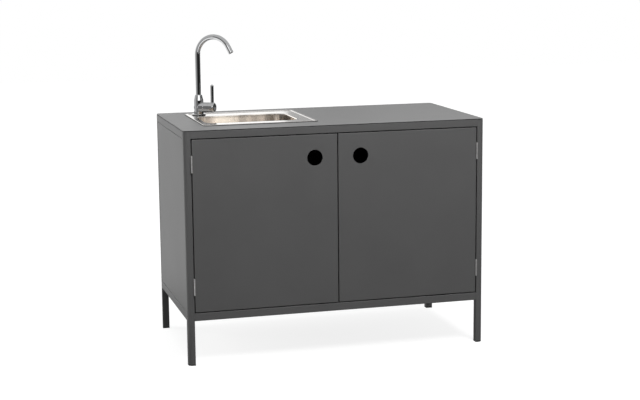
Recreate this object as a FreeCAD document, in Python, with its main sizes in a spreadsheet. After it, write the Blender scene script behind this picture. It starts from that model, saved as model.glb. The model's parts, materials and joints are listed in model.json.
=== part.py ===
import FreeCAD, Part
import os
import re
import Sketcher

Vector = FreeCAD.Vector
Rotation = FreeCAD.Rotation
Placement = FreeCAD.Placement

# Driving dimensions in millimetres and degrees, one table for each group of pieces
SIZES = {
    "whole cabinet": {
        "width": 1190,
        "depth": 620,
        "height": 900,
    },
    "worktop": {
        "worktop_thickness": 2,
        "tape_thickness": 2,
        "tape_width": 14,
        "tape_inset": 4,
        "brace_offset": 60,
        "brace_width": 40,
        "brace_height": 25,
    },
    "frame": {
        "post_side": 27,
        "post_wall": 1.5,
        "corner_radius": 15,
        "rail_wall": 1.5,
        "rail_depth": 27,
        "top_rail_height": 27,
        "bottom_rail_height": 30,
        "underside_height": 173.5,
        "foot_height": 5,
        "plug_depth": 22,
        "plug_wall": 2,
        "plug_clearance": 0.1,
    },
    "panels": {
        "panel_sheet": 1.2,
        "panel_fold": 15,
        "panel_seam": 1,
        "panel_recess": 0.4,
        "floor_lap": 11,
        "hose_hole_radius": 35,
    },
    "doors": {
        "door_gap": 3.5,
        "door_depth": 18,
        "door_sheet": 1.2,
        "door_lip": 15,
        "finger_hole_radius": 30.5,
        "finger_hole_side": 90.7,
        "finger_hole_drop": 88.2,
    },
    "hinges": {
        "hinge_stand": 3,
        "knuckle_radius": 3.2,
        "knuckle_gap": 0.3,
        "hinge_length": 64,
        "leaf_thickness": 1.4,
        "leaf_width": 24,
        "leaf_clearance": 0.3,
        "pin_radius": 1.5,
        "pin_clearance": 0.05,
        "pin_head_radius": 2.3,
        "pin_head_height": 1,
        "hinge_from_top": 92,
        "hinge_from_bottom": 99,
        "screw_head_radius": 3,
        "screw_head_depth": 1.2,
        "screw_shank_radius": 1.6,
        "screw_length": 8,
        "screw_spread": 20,
        "screw_setback": 17,
        "screw_clearance": 0.1,
    },
    "catch": {
        "catch_half_width": 36,
        "catch_body_depth": 14,
        "catch_body_height": 40,
        "catch_nose_height": 14,
        "catch_drop": 5,
        "catch_clearance": 0.3,
        "strike_thickness": 2,
        "strike_width": 24,
        "strike_height": 12,
        "strike_offset": 8,
    },
    "sink": {
        "sink_left": 102,
        "sink_back": 93,
        "sink_width": 450,
        "sink_depth": 405,
        "sink_corner": 12,
        "sink_sheet": 1.2,
        "rim_width": 12,
        "rim_rise": 1.8,
        "rim_round": 1.4,
        "sink_lap": 10,
        "cutout_corner": 10,
        "gasket_thickness": 0.8,
        "gasket_width": 8,
        "gasket_inset": 1,
        "ledge_left": 27,
        "ledge_right": 61,
        "ledge_front": 67,
        "ledge_back": 98,
        "bowl_corner": 45,
        "bowl_fall": 140,
        "bowl_draw": 8,
        "bowl_floor_round": 19,
        "clip_length": 26,
        "clip_width": 14,
        "clip_thickness": 3,
        "clip_inset": 16,
        "clip_bolt_radius": 2.5,
        "clip_spread": 130,
    },
    "strainer": {
        "drain_hole_radius": 45,
        "flange_radius": 56,
        "flange_thickness": 2,
        "drain_radius": 44,
        "drain_wall": 2,
        "drain_fall": 55,
        "step_fall": 17,
        "step_width": 2,
        "stub_radius": 24,
        "stub_length": 34,
        "drain_gasket_radius": 54,
        "drain_gasket_thickness": 3,
        "drain_nut_radius": 57,
        "drain_nut_height": 12,
        "thread_clearance": 0.3,
        "basket_rim_radius": 41.5,
        "basket_radius": 38,
        "basket_sheet": 1,
        "basket_fall": 28,
        "basket_hole_radius": 2.5,
        "basket_ring_radius": 24,
        "basket_inner_ring_radius": 13,
        "basket_post_radius": 3,
        "basket_post_height": 32,
        "basket_knob_radius": 9,
        "basket_knob_height": 6,
    },
    "trap": {
        "pipe_radius": 20,
        "pipe_wall": 2,
        "pipe_clearance": 0.3,
        "inlet_length": 129,
        "inlet_insert": 26,
        "trap_drop": 30,
        "bottle_radius": 34,
        "bottle_wall": 3,
        "bottle_height": 100,
        "bottle_neck": 22,
        "port_fall": 38,
        "port_length": 24,
        "outlet_gap": 40,
        "spigot_length": 40,
        "spigot_step": 1,
        "slip_nut_radius": 29,
        "slip_nut_height": 20,
    },
    "tap": {
        "tap_from_left": 50,
        "tap_from_back": 42,
        "base_radius": 27,
        "base_height": 4,
        "base_gasket_radius": 28.5,
        "base_gasket_thickness": 1.5,
        "body_radius": 20,
        "body_height": 56,
        "shoulder_radius": 14.5,
        "shoulder_height": 21,
        "shank_radius": 16.5,
        "shank_length": 52,
        "shank_spigot_radius": 12,
        "shank_spigot_length": 8,
        "shank_clearance": 0.3,
        "tap_hole_radius": 17.5,
        "port_bore": 4.5,
        "port_spread": 8,
        "port_depth": 15,
        "washer_radius": 27,
        "washer_thickness": 2,
        "backnut_radius": 25,
        "backnut_height": 10,
    },
    "spout": {
        "spout_radius": 11,
        "spout_wall": 1.5,
        "spout_clearance": 0.05,
        "spout_insert": 30,
        "spout_end_gap": 0.3,
        "arc_radius": 74,
        "neck_height": 158.5,
        "spout_turn": -40,
        "arc_sweep": 150,
        "nozzle_length": 29,
        "nozzle_wall": 2,
        "nozzle_recess": 3,
        "nozzle_sieve": 2,
        "sieve_hole_radius": 1.1,
        "sieve_ring_radius": 5.5,
    },
    "lever": {
        "housing_rise": 26.5,
        "housing_turn": -35,
        "housing_radius": 21.3,
        "pivot_offset": 19,
        "dome_radius": 22,
        "dome_gap": 0.4,
        "hub_end": 72,
        "hub_round": 8,
        "rod_offset": 60,
        "rod_radius": 6.3,
        "rod_seat": 12,
        "rod_rise": 93,
        "rod_clearance": 0.05,
        "cartridge_radius": 16,
        "cartridge_clearance": 0.3,
        "cartridge_back": 14,
        "cartridge_front": 12,
        "tail_radius": 4,
        "tail_length": 8,
        "water_way": 4,
        "core_radius": 9,
        "core_clearance": 0.3,
        "stem_radius": 4,
        "stem_end": 50,
        "stem_taper": 1,
        "stem_clearance": 0.05,
    },
    "cutting": {
        "overrun": 2,
    },
}

HINGE_KNUCKLES = 5
BASKET_HOLES = 12
BASKET_INNER_HOLES = 6
SIEVE_HOLES = 8

# Places that several pieces share, worked out from the sizes
PLACES = {
    "proud": "hinge_stand + knuckle_radius",
    "front": "proud / 2 - depth / 2",
    "back": "proud / 2 + depth / 2",
    "half_width": "width / 2",
    "inside": "width / 2 - post_side",
    "frame_top": "height - worktop_thickness - tape_thickness",
    "opening_top": "frame_top - top_rail_height",
    "opening_bottom": "underside_height + bottom_rail_height",
    "door_top": "opening_top - door_gap",
    "door_bottom": "opening_bottom + door_gap",
    "worktop_under": "height - worktop_thickness",
    "hinge_y": "front - hinge_stand",
    "screw_y": "hinge_y + screw_setback",
    "sink_x": "sink_left + sink_width / 2 - width / 2",
    "sink_y": "back - sink_back - sink_depth / 2",
    "sink_under": "height + gasket_thickness",
    "ledge_top": "sink_under + sink_sheet",
    "rim_top": "ledge_top + rim_rise",
    "bowl_width": "sink_width - ledge_left - ledge_right",
    "bowl_depth": "sink_depth - ledge_front - ledge_back",
    "bowl_x": "sink_x - sink_width / 2 + ledge_left + bowl_width / 2",
    "bowl_y": "sink_y - sink_depth / 2 + ledge_front + bowl_depth / 2",
    "bowl_floor": "ledge_top - bowl_fall",
    "bowl_under": "bowl_floor - sink_sheet",
    "step_z": "bowl_floor - step_fall",
    "drain_base": "bowl_floor - drain_fall",
    "stub_end": "drain_base - stub_length",
    "pipe_bore": "pipe_radius + pipe_clearance",
    "nut_bore": "stub_radius + thread_clearance",
    "inlet_top": "stub_end + inlet_insert",
    "bottle_top": "stub_end - trap_drop",
    "outlet_z": "bottle_top - port_fall",
    "tap_x": "sink_x - sink_width / 2 + tap_from_left",
    "tap_y": "sink_y + sink_depth / 2 - tap_from_back",
    "base_top": "ledge_top + base_gasket_thickness + base_height",
    "body_top": "base_top + body_height",
    "shoulder_top": "body_top + shoulder_height",
    "spout_foot": "shoulder_top - spout_insert",
    "neck_top": "shoulder_top + neck_height",
    "housing_z": "base_top + housing_rise",
    "core_back": "pivot_offset - core_radius - core_clearance",
    "core_front": "pivot_offset + core_radius + core_clearance",
}
TAP_FOOT = ("tap_x", "tap_y", "0")
HINGE_HEIGHTS = {
    "top": "(door_top - hinge_from_top)",
    "bottom": "(door_bottom + hinge_from_bottom)",
}

DIRECTIONS = {
    "+x": Rotation(Vector(0, 1, 0), 90),
    "-x": Rotation(Vector(0, 1, 0), -90),
    "+y": Rotation(Vector(1, 0, 0), -90),
    "+z": Rotation(),
    "-z": Rotation(Vector(1, 0, 0), 180),
}

SIZE_NAMES = {name for values in SIZES.values() for name in values}

doc = FreeCAD.newDocument("sink_cabinet")
sheet = doc.addObject("Spreadsheet::Sheet", "sizes")
nodes = []


def fill_sheet():
    """Write each driving dimension into a cell that carries its name."""
    row = 1
    for group, values in SIZES.items():
        sheet.set(f"A{row}", group)
        row += 1
        for name, value in values.items():
            sheet.set(f"A{row}", name)
            sheet.set(f"B{row}", str(value))
            sheet.setAlias(f"B{row}", name)
            row += 1
    doc.recompute()


def full(formula):
    """Formula with its shared places written out and every size pointed at the sheet."""

    def point(match):
        word = match.group()
        if word in PLACES:
            return "(" + full(PLACES[word]) + ")"
        return "sizes." + word if word in SIZE_NAMES else word

    return re.sub(r"[a-z_]+", point, formula)


def number(formula):
    """Value of a formula at the present sizes."""
    return float(sheet.evalExpression(full(formula)))


def bind(item, setting, formula):
    """Tie one setting of an object to a formula."""
    item.setExpression(setting, full(formula))


def place(item, spot):
    """Tie the object's place to three formulas."""
    for axis, formula in zip("xyz", spot):
        bind(item, "Placement.Base." + axis, formula)


def node(item, label):
    """Give a finished sub-part its name and keep it for the export."""
    item.Label = label
    nodes.append(item)
    return item


def box(size, corner):
    """Box from three sizes and its lowest corner."""
    item = doc.addObject("Part::Box", "block")
    for setting, formula in zip(("Length", "Width", "Height"), size):
        bind(item, setting, formula)
    place(item, corner)
    return item


def span(low, high):
    """Box between two corners."""
    size = [f"({b}) - ({a})" for a, b in zip(low, high)]
    return box(size, low)


def cylinder(radius, length, foot, towards="+z"):
    """Cylinder from the centre of its foot, along one axis."""
    item = doc.addObject("Part::Cylinder", "round")
    bind(item, "Radius", radius)
    bind(item, "Height", length)
    item.Placement = Placement(Vector(), DIRECTIONS[towards])
    place(item, foot)
    return item


def cone(foot_radius, top_radius, length, foot, towards="+z"):
    """Cone frustum from the centre of its foot, along one axis."""
    item = doc.addObject("Part::Cone", "taper")
    bind(item, "Radius1", foot_radius)
    bind(item, "Radius2", top_radius)
    bind(item, "Height", length)
    item.Placement = Placement(Vector(), DIRECTIONS[towards])
    place(item, foot)
    return item


def ball(radius, centre):
    """Sphere about a centre."""
    item = doc.addObject("Part::Sphere", "ball")
    bind(item, "Radius", radius)
    place(item, centre)
    return item


def join(items):
    """One solid from several that overlap or touch."""
    if len(items) == 1:
        return items[0]
    item = doc.addObject("Part::MultiFuse", "joined")
    item.Shapes = items
    item.Refine = True
    return item


def cut(base, tools):
    """The base with the tools taken out of it."""
    item = doc.addObject("Part::Cut", "cut")
    item.Base = base
    item.Tool = join(tools)
    item.Refine = True
    return item


def common(items):
    """What two solids share."""
    item = doc.addObject("Part::MultiCommon", "shared")
    item.Shapes = items
    return item


def group(items):
    """Several separate solids in one sub-part."""
    item = doc.addObject("Part::Compound", "group")
    item.Links = items
    return item


def new_body():
    """Empty body for sketched features."""
    return doc.addObject("PartDesign::Body", "body")


def sketch_on(body, role, lift="0"):
    """Sketch on one of the body's own planes, lifted along the plane's normal."""
    sketch = body.newObject("Sketcher::SketchObject", "sketch")
    plane = [item for item in body.Origin.OriginFeatures if item.Role == role][0]
    sketch.AttachmentSupport = [(plane, "")]
    sketch.MapMode = "FlatFace"
    bind(sketch, "AttachmentOffset.Base.z", lift)
    return sketch


def fix(sketch, kind, geometry, point, formula):
    """Hold a sketch point at a formula's distance from the sketch's origin."""
    row = sketch.addConstraint(Sketcher.Constraint(kind, -1, 1, geometry, point, number(formula)))
    bind(sketch, f"Constraints[{row}]", formula)


def rectangle(sketch, low, high, radii=("", "", "", "")):
    """Upright rectangle; a formula in radii rounds that corner, counted from the lowest one."""
    x0, y0, x1, y1 = number(low[0]), number(low[1]), number(high[0]), number(high[1])
    corners = [(x0, y0), (x1, y0), (x1, y1), (x0, y1)]
    steps = [(1, 0), (0, 1), (-1, 0), (0, -1)]
    trims = [number(radius) if radius else 0.0 for radius in radii]
    lines = []
    for side, (x, y) in enumerate(corners):
        after = (side + 1) % 4
        dx, dy = steps[side]
        start = Vector(x + dx * trims[side], y + dy * trims[side], 0)
        end = Vector(corners[after][0] - dx * trims[after], corners[after][1] - dy * trims[after], 0)
        lines.append(sketch.addGeometry(Part.LineSegment(start, end), False))
    for side, line in enumerate(lines):
        way = "Horizontal" if side % 2 == 0 else "Vertical"
        sketch.addConstraint(Sketcher.Constraint(way, line))
    for side, radius in enumerate(radii):
        before = lines[side - 1]
        if not radius:
            sketch.addConstraint(Sketcher.Constraint("Coincident", before, 2, lines[side], 1))
            continue
        dx, dy = steps[side]
        bx, by = steps[side - 1]
        reach = trims[side]
        centre = Vector(corners[side][0] + (dx - bx) * reach, corners[side][1] + (dy - by) * reach, 0)
        turn = (side - 1) * 90
        circle = Part.Circle(centre, Vector(0, 0, 1), reach)
        lead = FreeCAD.Units.Quantity(turn - 90, FreeCAD.Units.Angle).getValueAs("rad").Value
        quarter = FreeCAD.Units.Quantity(90, FreeCAD.Units.Angle).getValueAs("rad").Value
        arc = sketch.addGeometry(Part.ArcOfCircle(circle, lead, lead + quarter), False)
        sketch.addConstraint(Sketcher.Constraint("Tangent", before, 2, arc, 1))
        sketch.addConstraint(Sketcher.Constraint("Tangent", arc, 2, lines[side], 1))
        row = sketch.addConstraint(Sketcher.Constraint("Radius", arc, reach))
        bind(sketch, f"Constraints[{row}]", radius)
    fix(sketch, "DistanceY", lines[0], 1, low[1])
    fix(sketch, "DistanceX", lines[1], 1, high[0])
    fix(sketch, "DistanceY", lines[2], 1, high[1])
    fix(sketch, "DistanceX", lines[3], 1, low[0])


def disc(sketch, radius, x="0", y="0"):
    """Circle in a sketch."""
    circle = Part.Circle(Vector(number(x), number(y), 0), Vector(0, 0, 1), number(radius))
    geometry = sketch.addGeometry(circle, False)
    fix(sketch, "DistanceX", geometry, 3, x)
    fix(sketch, "DistanceY", geometry, 3, y)
    row = sketch.addConstraint(Sketcher.Constraint("Radius", geometry, number(radius)))
    bind(sketch, f"Constraints[{row}]", radius)


def feature(body, kind, sketch, length, back=False):
    """Pad or pocket of a sketch."""
    item = body.newObject("PartDesign::" + kind, kind.lower())
    item.Profile = sketch
    bind(item, "Length", length)
    item.Reversed = back
    return item


def round_edges(body, base, chosen, radius):
    """Fillet of the edges that the test picks."""
    doc.recompute()
    names = [f"Edge{i + 1}" for i, edge in enumerate(base.Shape.Edges) if chosen(edge)]
    item = body.newObject("PartDesign::Fillet", "fillet")
    item.Base = (base, names)
    bind(item, "Radius", radius)
    return item


def at_height(edge, formula):
    """True where the whole edge lies at one height."""
    level = number(formula)
    box_of = edge.BoundBox
    return abs(box_of.ZMin - level) < TOLERANCE and abs(box_of.ZMax - level) < TOLERANCE


TOLERANCE = 1e-4


def add_posts():
    """Four corner posts that run down as legs, with the large round on the outside corner."""
    corners = {
        "post_front_left": ("-half_width", "front", 0),
        "post_front_right": ("half_width", "front", 90),
        "post_rear_right": ("half_width", "back", 180),
        "post_rear_left": ("-half_width", "back", 270),
    }
    for label, (x, y, turn) in corners.items():
        body = new_body()
        sketch = sketch_on(body, "XY_Plane")
        rectangle(sketch, ("0", "0"), ("post_side", "post_side"), ("corner_radius", "", "", ""))
        inner = "post_side - post_wall"
        inner_round = "corner_radius - post_wall"
        rectangle(sketch, ("post_wall", "post_wall"), (inner, inner), (inner_round, "", "", ""))
        feature(body, "Pad", sketch, "frame_top - foot_height")
        body.Placement = Placement(Vector(), Rotation(Vector(0, 0, 1), turn))
        place(body, (x, y, "foot_height"))
        holes = post_screw_holes(label)
        node(cut(body, holes) if holes else body, label)


def post_screw_holes(label):
    """Shank holes of the hinge screws in a front post; rear posts have none."""
    sides = {"post_front_left": -1, "post_front_right": 1}
    if label not in sides:
        return []
    side = sides[label]
    holes = []
    for height in HINGE_HEIGHTS:
        for z in screw_heights(height):
            foot = (f"{side} * (inside - overrun)", "screw_y", z)
            towards = "+x" if side > 0 else "-x"
            radius = "screw_shank_radius + screw_clearance"
            holes.append(cylinder(radius, "post_wall + overrun * 2", foot, towards))
    return holes


def add_feet():
    """Plastic foot caps, each with a hollow plug inside its post."""
    caps = []
    for side, edge, turn in ((-1, "front", 0), (1, "front", 90), (1, "back", 180), (-1, "back", 270)):
        body = new_body()
        base = sketch_on(body, "XY_Plane")
        rectangle(base, ("0", "0"), ("post_side", "post_side"), ("corner_radius", "", "", ""))
        feature(body, "Pad", base, "foot_height")
        plug = sketch_on(body, "XY_Plane", "foot_height")
        for inset in ("post_wall + plug_clearance", "post_wall + plug_clearance + plug_wall"):
            high = f"post_side - ({inset})"
            rectangle(plug, (inset, inset), (high, high), (f"corner_radius - ({inset})", "", "", ""))
        feature(body, "Pad", plug, "plug_depth")
        body.Placement = Placement(Vector(), Rotation(Vector(0, 0, 1), turn))
        place(body, (f"{side} * half_width", edge, "0"))
        caps.append(body)
    node(group(caps), "foot_caps")


def tube(low, high, axis):
    """Box tube between two corners, open at both ends along its axis."""
    outer = span(low, high)
    inner_low = []
    inner_high = []
    for letter, a, b in zip("xyz", low, high):
        if letter == axis:
            inner_low.append(f"({a}) - overrun")
            inner_high.append(f"({b}) + overrun")
        else:
            inner_low.append(f"({a}) + rail_wall")
            inner_high.append(f"({b}) - rail_wall")
    return cut(outer, [span(inner_low, inner_high)])


def add_rails():
    """Top and bottom rails between the posts, and the brace under the worktop."""
    levels = {"top": ("opening_top", "frame_top"), "bottom": ("underside_height", "opening_bottom")}
    for level, (low_z, high_z) in levels.items():
        runs = {"front": ("front", "front + rail_depth"), "rear": ("back - rail_depth", "back")}
        for name, (low_y, high_y) in runs.items():
            rail = tube(("-inside", low_y, low_z), ("inside", high_y, high_z), "x")
            node(rail, f"rail_{level}_{name}")
        for name, side in (("left", -1), ("right", 1)):
            edges = sorted([f"{side} * half_width", f"{side} * (half_width - rail_depth)"], key=number)
            low = (edges[0], "front + post_side", low_z)
            high = (edges[1], "back - post_side", high_z)
            node(tube(low, high, "y"), f"rail_{level}_{name}")
    low = ("brace_offset", "front + rail_depth", "worktop_under - brace_height")
    high = ("brace_offset + brace_width", "back - rail_depth", "worktop_under")
    node(tube(low, high, "y"), "worktop_brace")


def folded_panel(low, high, axis, skin_high):
    """Sheet panel with folded edges, open on the side away from its skin."""
    outer = span(low, high)
    inner_low = []
    inner_high = []
    for letter, a, b in zip("xyz", low, high):
        if letter != axis:
            inner_low.append(f"({a}) + panel_sheet")
            inner_high.append(f"({b}) - panel_sheet")
        elif skin_high:
            inner_low.append(f"({a}) - overrun")
            inner_high.append(f"({b}) - panel_sheet")
        else:
            inner_low.append(f"({a}) + panel_sheet")
            inner_high.append(f"({b}) + overrun")
    return cut(outer, [span(inner_low, inner_high)])


def add_panels():
    """Side, back and floor panels."""
    low_z = "opening_bottom + panel_seam"
    high_z = "opening_top - panel_seam"
    for name, side in (("left", -1), ("right", 1)):
        outer = f"{side} * (half_width - panel_recess)"
        inner = f"{side} * (half_width - panel_recess - panel_fold)"
        edges = sorted([outer, inner], key=number)
        low = (edges[0], "front + post_side", low_z)
        high = (edges[1], "back - post_side", high_z)
        node(folded_panel(low, high, "x", side > 0), f"side_panel_{name}")
    low = ("-inside", "back - panel_recess - panel_fold", low_z)
    high = ("inside", "back - panel_recess", high_z)
    back = folded_panel(low, high, "y", True)
    foot = ("bowl_x", "back - panel_recess - panel_sheet - overrun", "outlet_z")
    hole = cylinder("hose_hole_radius", "panel_sheet + overrun * 2", foot, "+y")
    node(cut(back, [hole]), "back_panel")
    lap = "inside + floor_lap"
    low = (f"-({lap})", "front + post_side - floor_lap", "opening_bottom")
    high = (lap, "back - post_side + floor_lap", "opening_bottom + panel_sheet")
    plate = span(low, high)
    notches = []
    for x_sign in (-1, 1):
        for edge, way in (("front", 1), ("back", -1)):
            xs = sorted([f"{x_sign} * inside", f"{x_sign} * ({lap} + overrun)"], key=number)
            past = f"{edge} + {way} * (post_side - floor_lap - overrun)"
            ys = sorted([f"{edge} + {way} * post_side", past], key=number)
            z = ("opening_bottom - overrun", "opening_bottom + panel_sheet + overrun")
            notches.append(span((xs[0], ys[0], z[0]), (xs[1], ys[1], z[1])))
    node(cut(plate, notches), "floor_panel")


def add_worktop():
    """Thin worktop with the sink cut-out, and the foam tape that it lies on."""
    body = new_body()
    sketch = sketch_on(body, "XY_Plane")
    rounds = ("corner_radius",) * 4
    rectangle(sketch, ("-half_width", "front"), ("half_width", "back"), rounds)
    reach_x = "(sink_width / 2 - sink_lap)"
    reach_y = "(sink_depth / 2 - sink_lap)"
    low = (f"sink_x - {reach_x}", f"sink_y - {reach_y}")
    high = (f"sink_x + {reach_x}", f"sink_y + {reach_y}")
    rectangle(sketch, low, high, ("cutout_corner",) * 4)
    feature(body, "Pad", sketch, "worktop_thickness")
    place(body, ("0", "0", "worktop_under"))
    node(body, "worktop")
    tape = new_body()
    ring = sketch_on(tape, "XY_Plane")
    low = ("-half_width + tape_inset", "front + tape_inset")
    high = ("half_width - tape_inset", "back - tape_inset")
    rectangle(ring, low, high, ("corner_radius - tape_inset",) * 4)
    low = ("-half_width + tape_inset + tape_width", "front + tape_inset + tape_width")
    high = ("half_width - tape_inset - tape_width", "back - tape_inset - tape_width")
    rectangle(ring, low, high)
    feature(tape, "Pad", ring, "tape_thickness")
    place(tape, ("0", "0", "frame_top"))
    node(tape, "worktop_tape")


def hinge_x(side):
    """Middle of the gap between post and door."""
    return f"({side} * (inside - door_gap / 2))"


def screw_heights(name):
    """The two screw heights of one hinge."""
    return [f"{HINGE_HEIGHTS[name]} + {way} * screw_spread" for way in (-1, 1)]


def screw(side, z, on_door, clearance):
    """Countersunk screw of a hinge leaf, its head flush with the leaf's open face."""
    way = -side if on_door else side
    towards = "+x" if way > 0 else "-x"
    face = f"{hinge_x(side)} + {way} * (door_gap / 2 - leaf_thickness)"
    head = cone(f"screw_head_radius + {clearance}", f"screw_shank_radius + {clearance}", "screw_head_depth",
                (face, "screw_y", z), towards)
    shank = cylinder(f"screw_shank_radius + {clearance}", "screw_length", (face, "screw_y", z), towards)
    return join([head, shank])


def leaf(side, name, on_door):
    """One leaf of a butt hinge with its knuckles, bored for the pin and countersunk."""
    way = -side if on_door else side
    x = hinge_x(side)
    low_z = f"({HINGE_HEIGHTS[name]} - hinge_length / 2)"
    pitch = f"(hinge_length / {HINGE_KNUCKLES})"
    open_face = f"{x} + {way} * (door_gap / 2 - leaf_thickness)"
    xs = sorted([open_face, f"{x} + {way} * door_gap / 2"], key=number)
    plate = span((xs[0], "hinge_y", f"{low_z} + knuckle_gap / 2"),
                 (xs[1], "hinge_y + leaf_width", f"{low_z} + hinge_length - knuckle_gap / 2"))
    solid = [plate]
    room = []
    for count in range(HINGE_KNUCKLES):
        own = (count % 2 == 1) == on_door
        start = f"{low_z} + {pitch} * {count}"
        if own:
            foot = (x, "hinge_y", f"{start} + knuckle_gap / 2")
            solid.append(cylinder("knuckle_radius", f"{pitch} - knuckle_gap", foot))
        else:
            foot = (x, "hinge_y", f"{start} - knuckle_gap / 2")
            room.append(cylinder("knuckle_radius + leaf_clearance", f"{pitch} + knuckle_gap", foot))
    bore = cylinder("pin_radius + pin_clearance", "hinge_length + overrun * 2",
                    (x, "hinge_y", f"{low_z} - overrun"))
    sinks = [screw(side, z, on_door, "screw_clearance") for z in screw_heights(name)]
    trimmed = cut(plate, room)
    solid[0] = trimmed
    return cut(join(solid), [bore] + sinks)


def add_hinges():
    """Butt hinges in the gaps beside the doors: leaves, pins and screws."""
    pins = []
    frame_screws = []
    for side, side_name in ((-1, "left"), (1, "right")):
        door_screws = []
        for name, centre in HINGE_HEIGHTS.items():
            node(leaf(side, name, False), f"hinge_frame_leaf_{name}_{side_name}")
            node(leaf(side, name, True), f"hinge_door_leaf_{name}_{side_name}")
            x = hinge_x(side)
            low_z = f"{centre} - hinge_length / 2"
            high_z = f"{centre} + hinge_length / 2"
            pin = cylinder("pin_radius", "hinge_length", (x, "hinge_y", low_z))
            top = cone("pin_head_radius", "pin_radius", "pin_head_height", (x, "hinge_y", high_z))
            foot = cone("pin_head_radius", "pin_radius", "pin_head_height", (x, "hinge_y", low_z), "-z")
            pins.append(join([pin, top, foot]))
            for z in screw_heights(name):
                frame_screws.append(screw(side, z, False, "0"))
                door_screws.append(screw(side, z, True, "0"))
        node(group(door_screws), f"hinge_screws_door_{side_name}")
    node(group(frame_screws), "hinge_screws_frame")
    node(group(pins), "hinge_pins")


def add_doors():
    """Two inset doors, each a folded sheet pan with a round finger hole."""
    for side, name in ((-1, "left"), (1, "right")):
        near = f"{side} * door_gap / 2"
        far = f"{side} * (inside - door_gap)"
        xs = sorted([near, far], key=number)
        outer = span((xs[0], "front", "door_bottom"), (xs[1], "front + door_depth", "door_top"))
        inner_low = (f"{xs[0]} + door_sheet", "front + door_sheet", "door_bottom + door_sheet")
        inner_high = (f"{xs[1]} - door_sheet", "front + door_depth - door_sheet", "door_top - door_sheet")
        mouth_low = (f"{xs[0]} + door_lip", "front + door_depth - door_sheet - overrun",
                     "door_bottom + door_lip")
        mouth_high = (f"{xs[1]} - door_lip", "front + door_depth + overrun", "door_top - door_lip")
        hole = cylinder("finger_hole_radius", "door_sheet + overrun * 2",
                        (f"{side} * finger_hole_side", "front - overrun", "door_top - finger_hole_drop"),
                        "+y")
        holes = []
        for hinge in HINGE_HEIGHTS:
            for z in screw_heights(hinge):
                foot = (f"{hinge_x(side)} - {side} * (door_gap / 2 - overrun)", "screw_y", z)
                towards = "-x" if side > 0 else "+x"
                radius = "screw_shank_radius + screw_clearance"
                holes.append(cylinder(radius, "door_sheet + overrun * 2", foot, towards))
        pan = cut(outer, [span(inner_low, inner_high), span(mouth_low, mouth_high), hole] + holes)
        node(pan, f"door_{name}")
        strikes = sorted([f"{side} * strike_offset + {side} * door_gap / 2",
                          f"{side} * (strike_offset + strike_width) + {side} * door_gap / 2"], key=number)
        top = "(door_top - door_sheet)"
        plate = span((strikes[0], "front + door_depth", f"{top} - strike_height"),
                     (strikes[1], "front + door_depth + strike_thickness", top))
        node(plate, f"strike_plate_{name}")


def add_catch():
    """Magnetic catch on the rear face of the top rail, its nose just behind the strike plates."""
    rear = "(front + rail_depth)"
    nose_top = "(opening_top - catch_drop)"
    nose_low = f"({nose_top} - catch_nose_height)"
    block = span(("-catch_half_width", rear, nose_low),
                 ("catch_half_width", f"{rear} + catch_body_depth", f"{nose_low} + catch_body_height"))
    face = "(front + door_depth + strike_thickness + catch_clearance)"
    nose = span(("-catch_half_width", face, nose_low), ("catch_half_width", rear, nose_top))
    node(join([block, nose]), "magnetic_catch")


def add_sink():
    """Pressed sink: raised rim, flat ledges, drawn bowl, drain hole and tap hole."""
    body = new_body()
    plate = sketch_on(body, "XY_Plane", "sink_under")
    low = ("sink_x - sink_width / 2", "sink_y - sink_depth / 2")
    high = ("sink_x + sink_width / 2", "sink_y + sink_depth / 2")
    rectangle(plate, low, high, ("sink_corner",) * 4)
    rim = feature(body, "Pad", plate, "sink_sheet + rim_rise")
    rim = round_edges(body, rim, lambda edge: at_height(edge, "rim_top"), "rim_round")
    well = sketch_on(body, "XY_Plane", "rim_top")
    low = ("sink_x - sink_width / 2 + rim_width", "sink_y - sink_depth / 2 + rim_width")
    high = ("sink_x + sink_width / 2 - rim_width", "sink_y + sink_depth / 2 - rim_width")
    rectangle(well, low, high, ("sink_corner",) * 4)
    feature(body, "Pocket", well, "rim_rise")
    loft(body, "AdditiveLoft", "sink_sheet", "sink_under", "bowl_under")
    bowl = loft(body, "SubtractiveLoft", "0", "ledge_top", "bowl_floor")
    bowl = round_edges(body, bowl, lambda edge: at_height(edge, "bowl_floor"), "bowl_floor_round")
    round_edges(body, bowl, lambda edge: at_height(edge, "bowl_under"), "bowl_floor_round + sink_sheet")
    drain = sketch_on(body, "XY_Plane", "bowl_floor")
    disc(drain, "drain_hole_radius", "bowl_x", "bowl_y")
    feature(body, "Pocket", drain, "sink_sheet + overrun")
    tap = sketch_on(body, "XY_Plane", "ledge_top")
    disc(tap, "tap_hole_radius", "tap_x", "tap_y")
    feature(body, "Pocket", tap, "sink_sheet + overrun")
    node(body, "sink")


def loft(body, kind, grow, top, bottom):
    """Tapered bowl shape between two heights, grown sideways by a wall."""
    sections = []
    for lift, draw in ((top, "0"), (bottom, "bowl_draw")):
        sketch = sketch_on(body, "XY_Plane", lift)
        reach_x = f"(bowl_width / 2 + {grow} - {draw})"
        reach_y = f"(bowl_depth / 2 + {grow} - {draw})"
        low = (f"bowl_x - {reach_x}", f"bowl_y - {reach_y}")
        high = (f"bowl_x + {reach_x}", f"bowl_y + {reach_y}")
        rectangle(sketch, low, high, (f"bowl_corner + {grow} - {draw}",) * 4)
        sections.append(sketch)
    item = body.newObject("PartDesign::" + kind, kind.lower())
    item.Profile = sections[0]
    item.Sections = [sections[1]]
    item.Ruled = True
    return item


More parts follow.
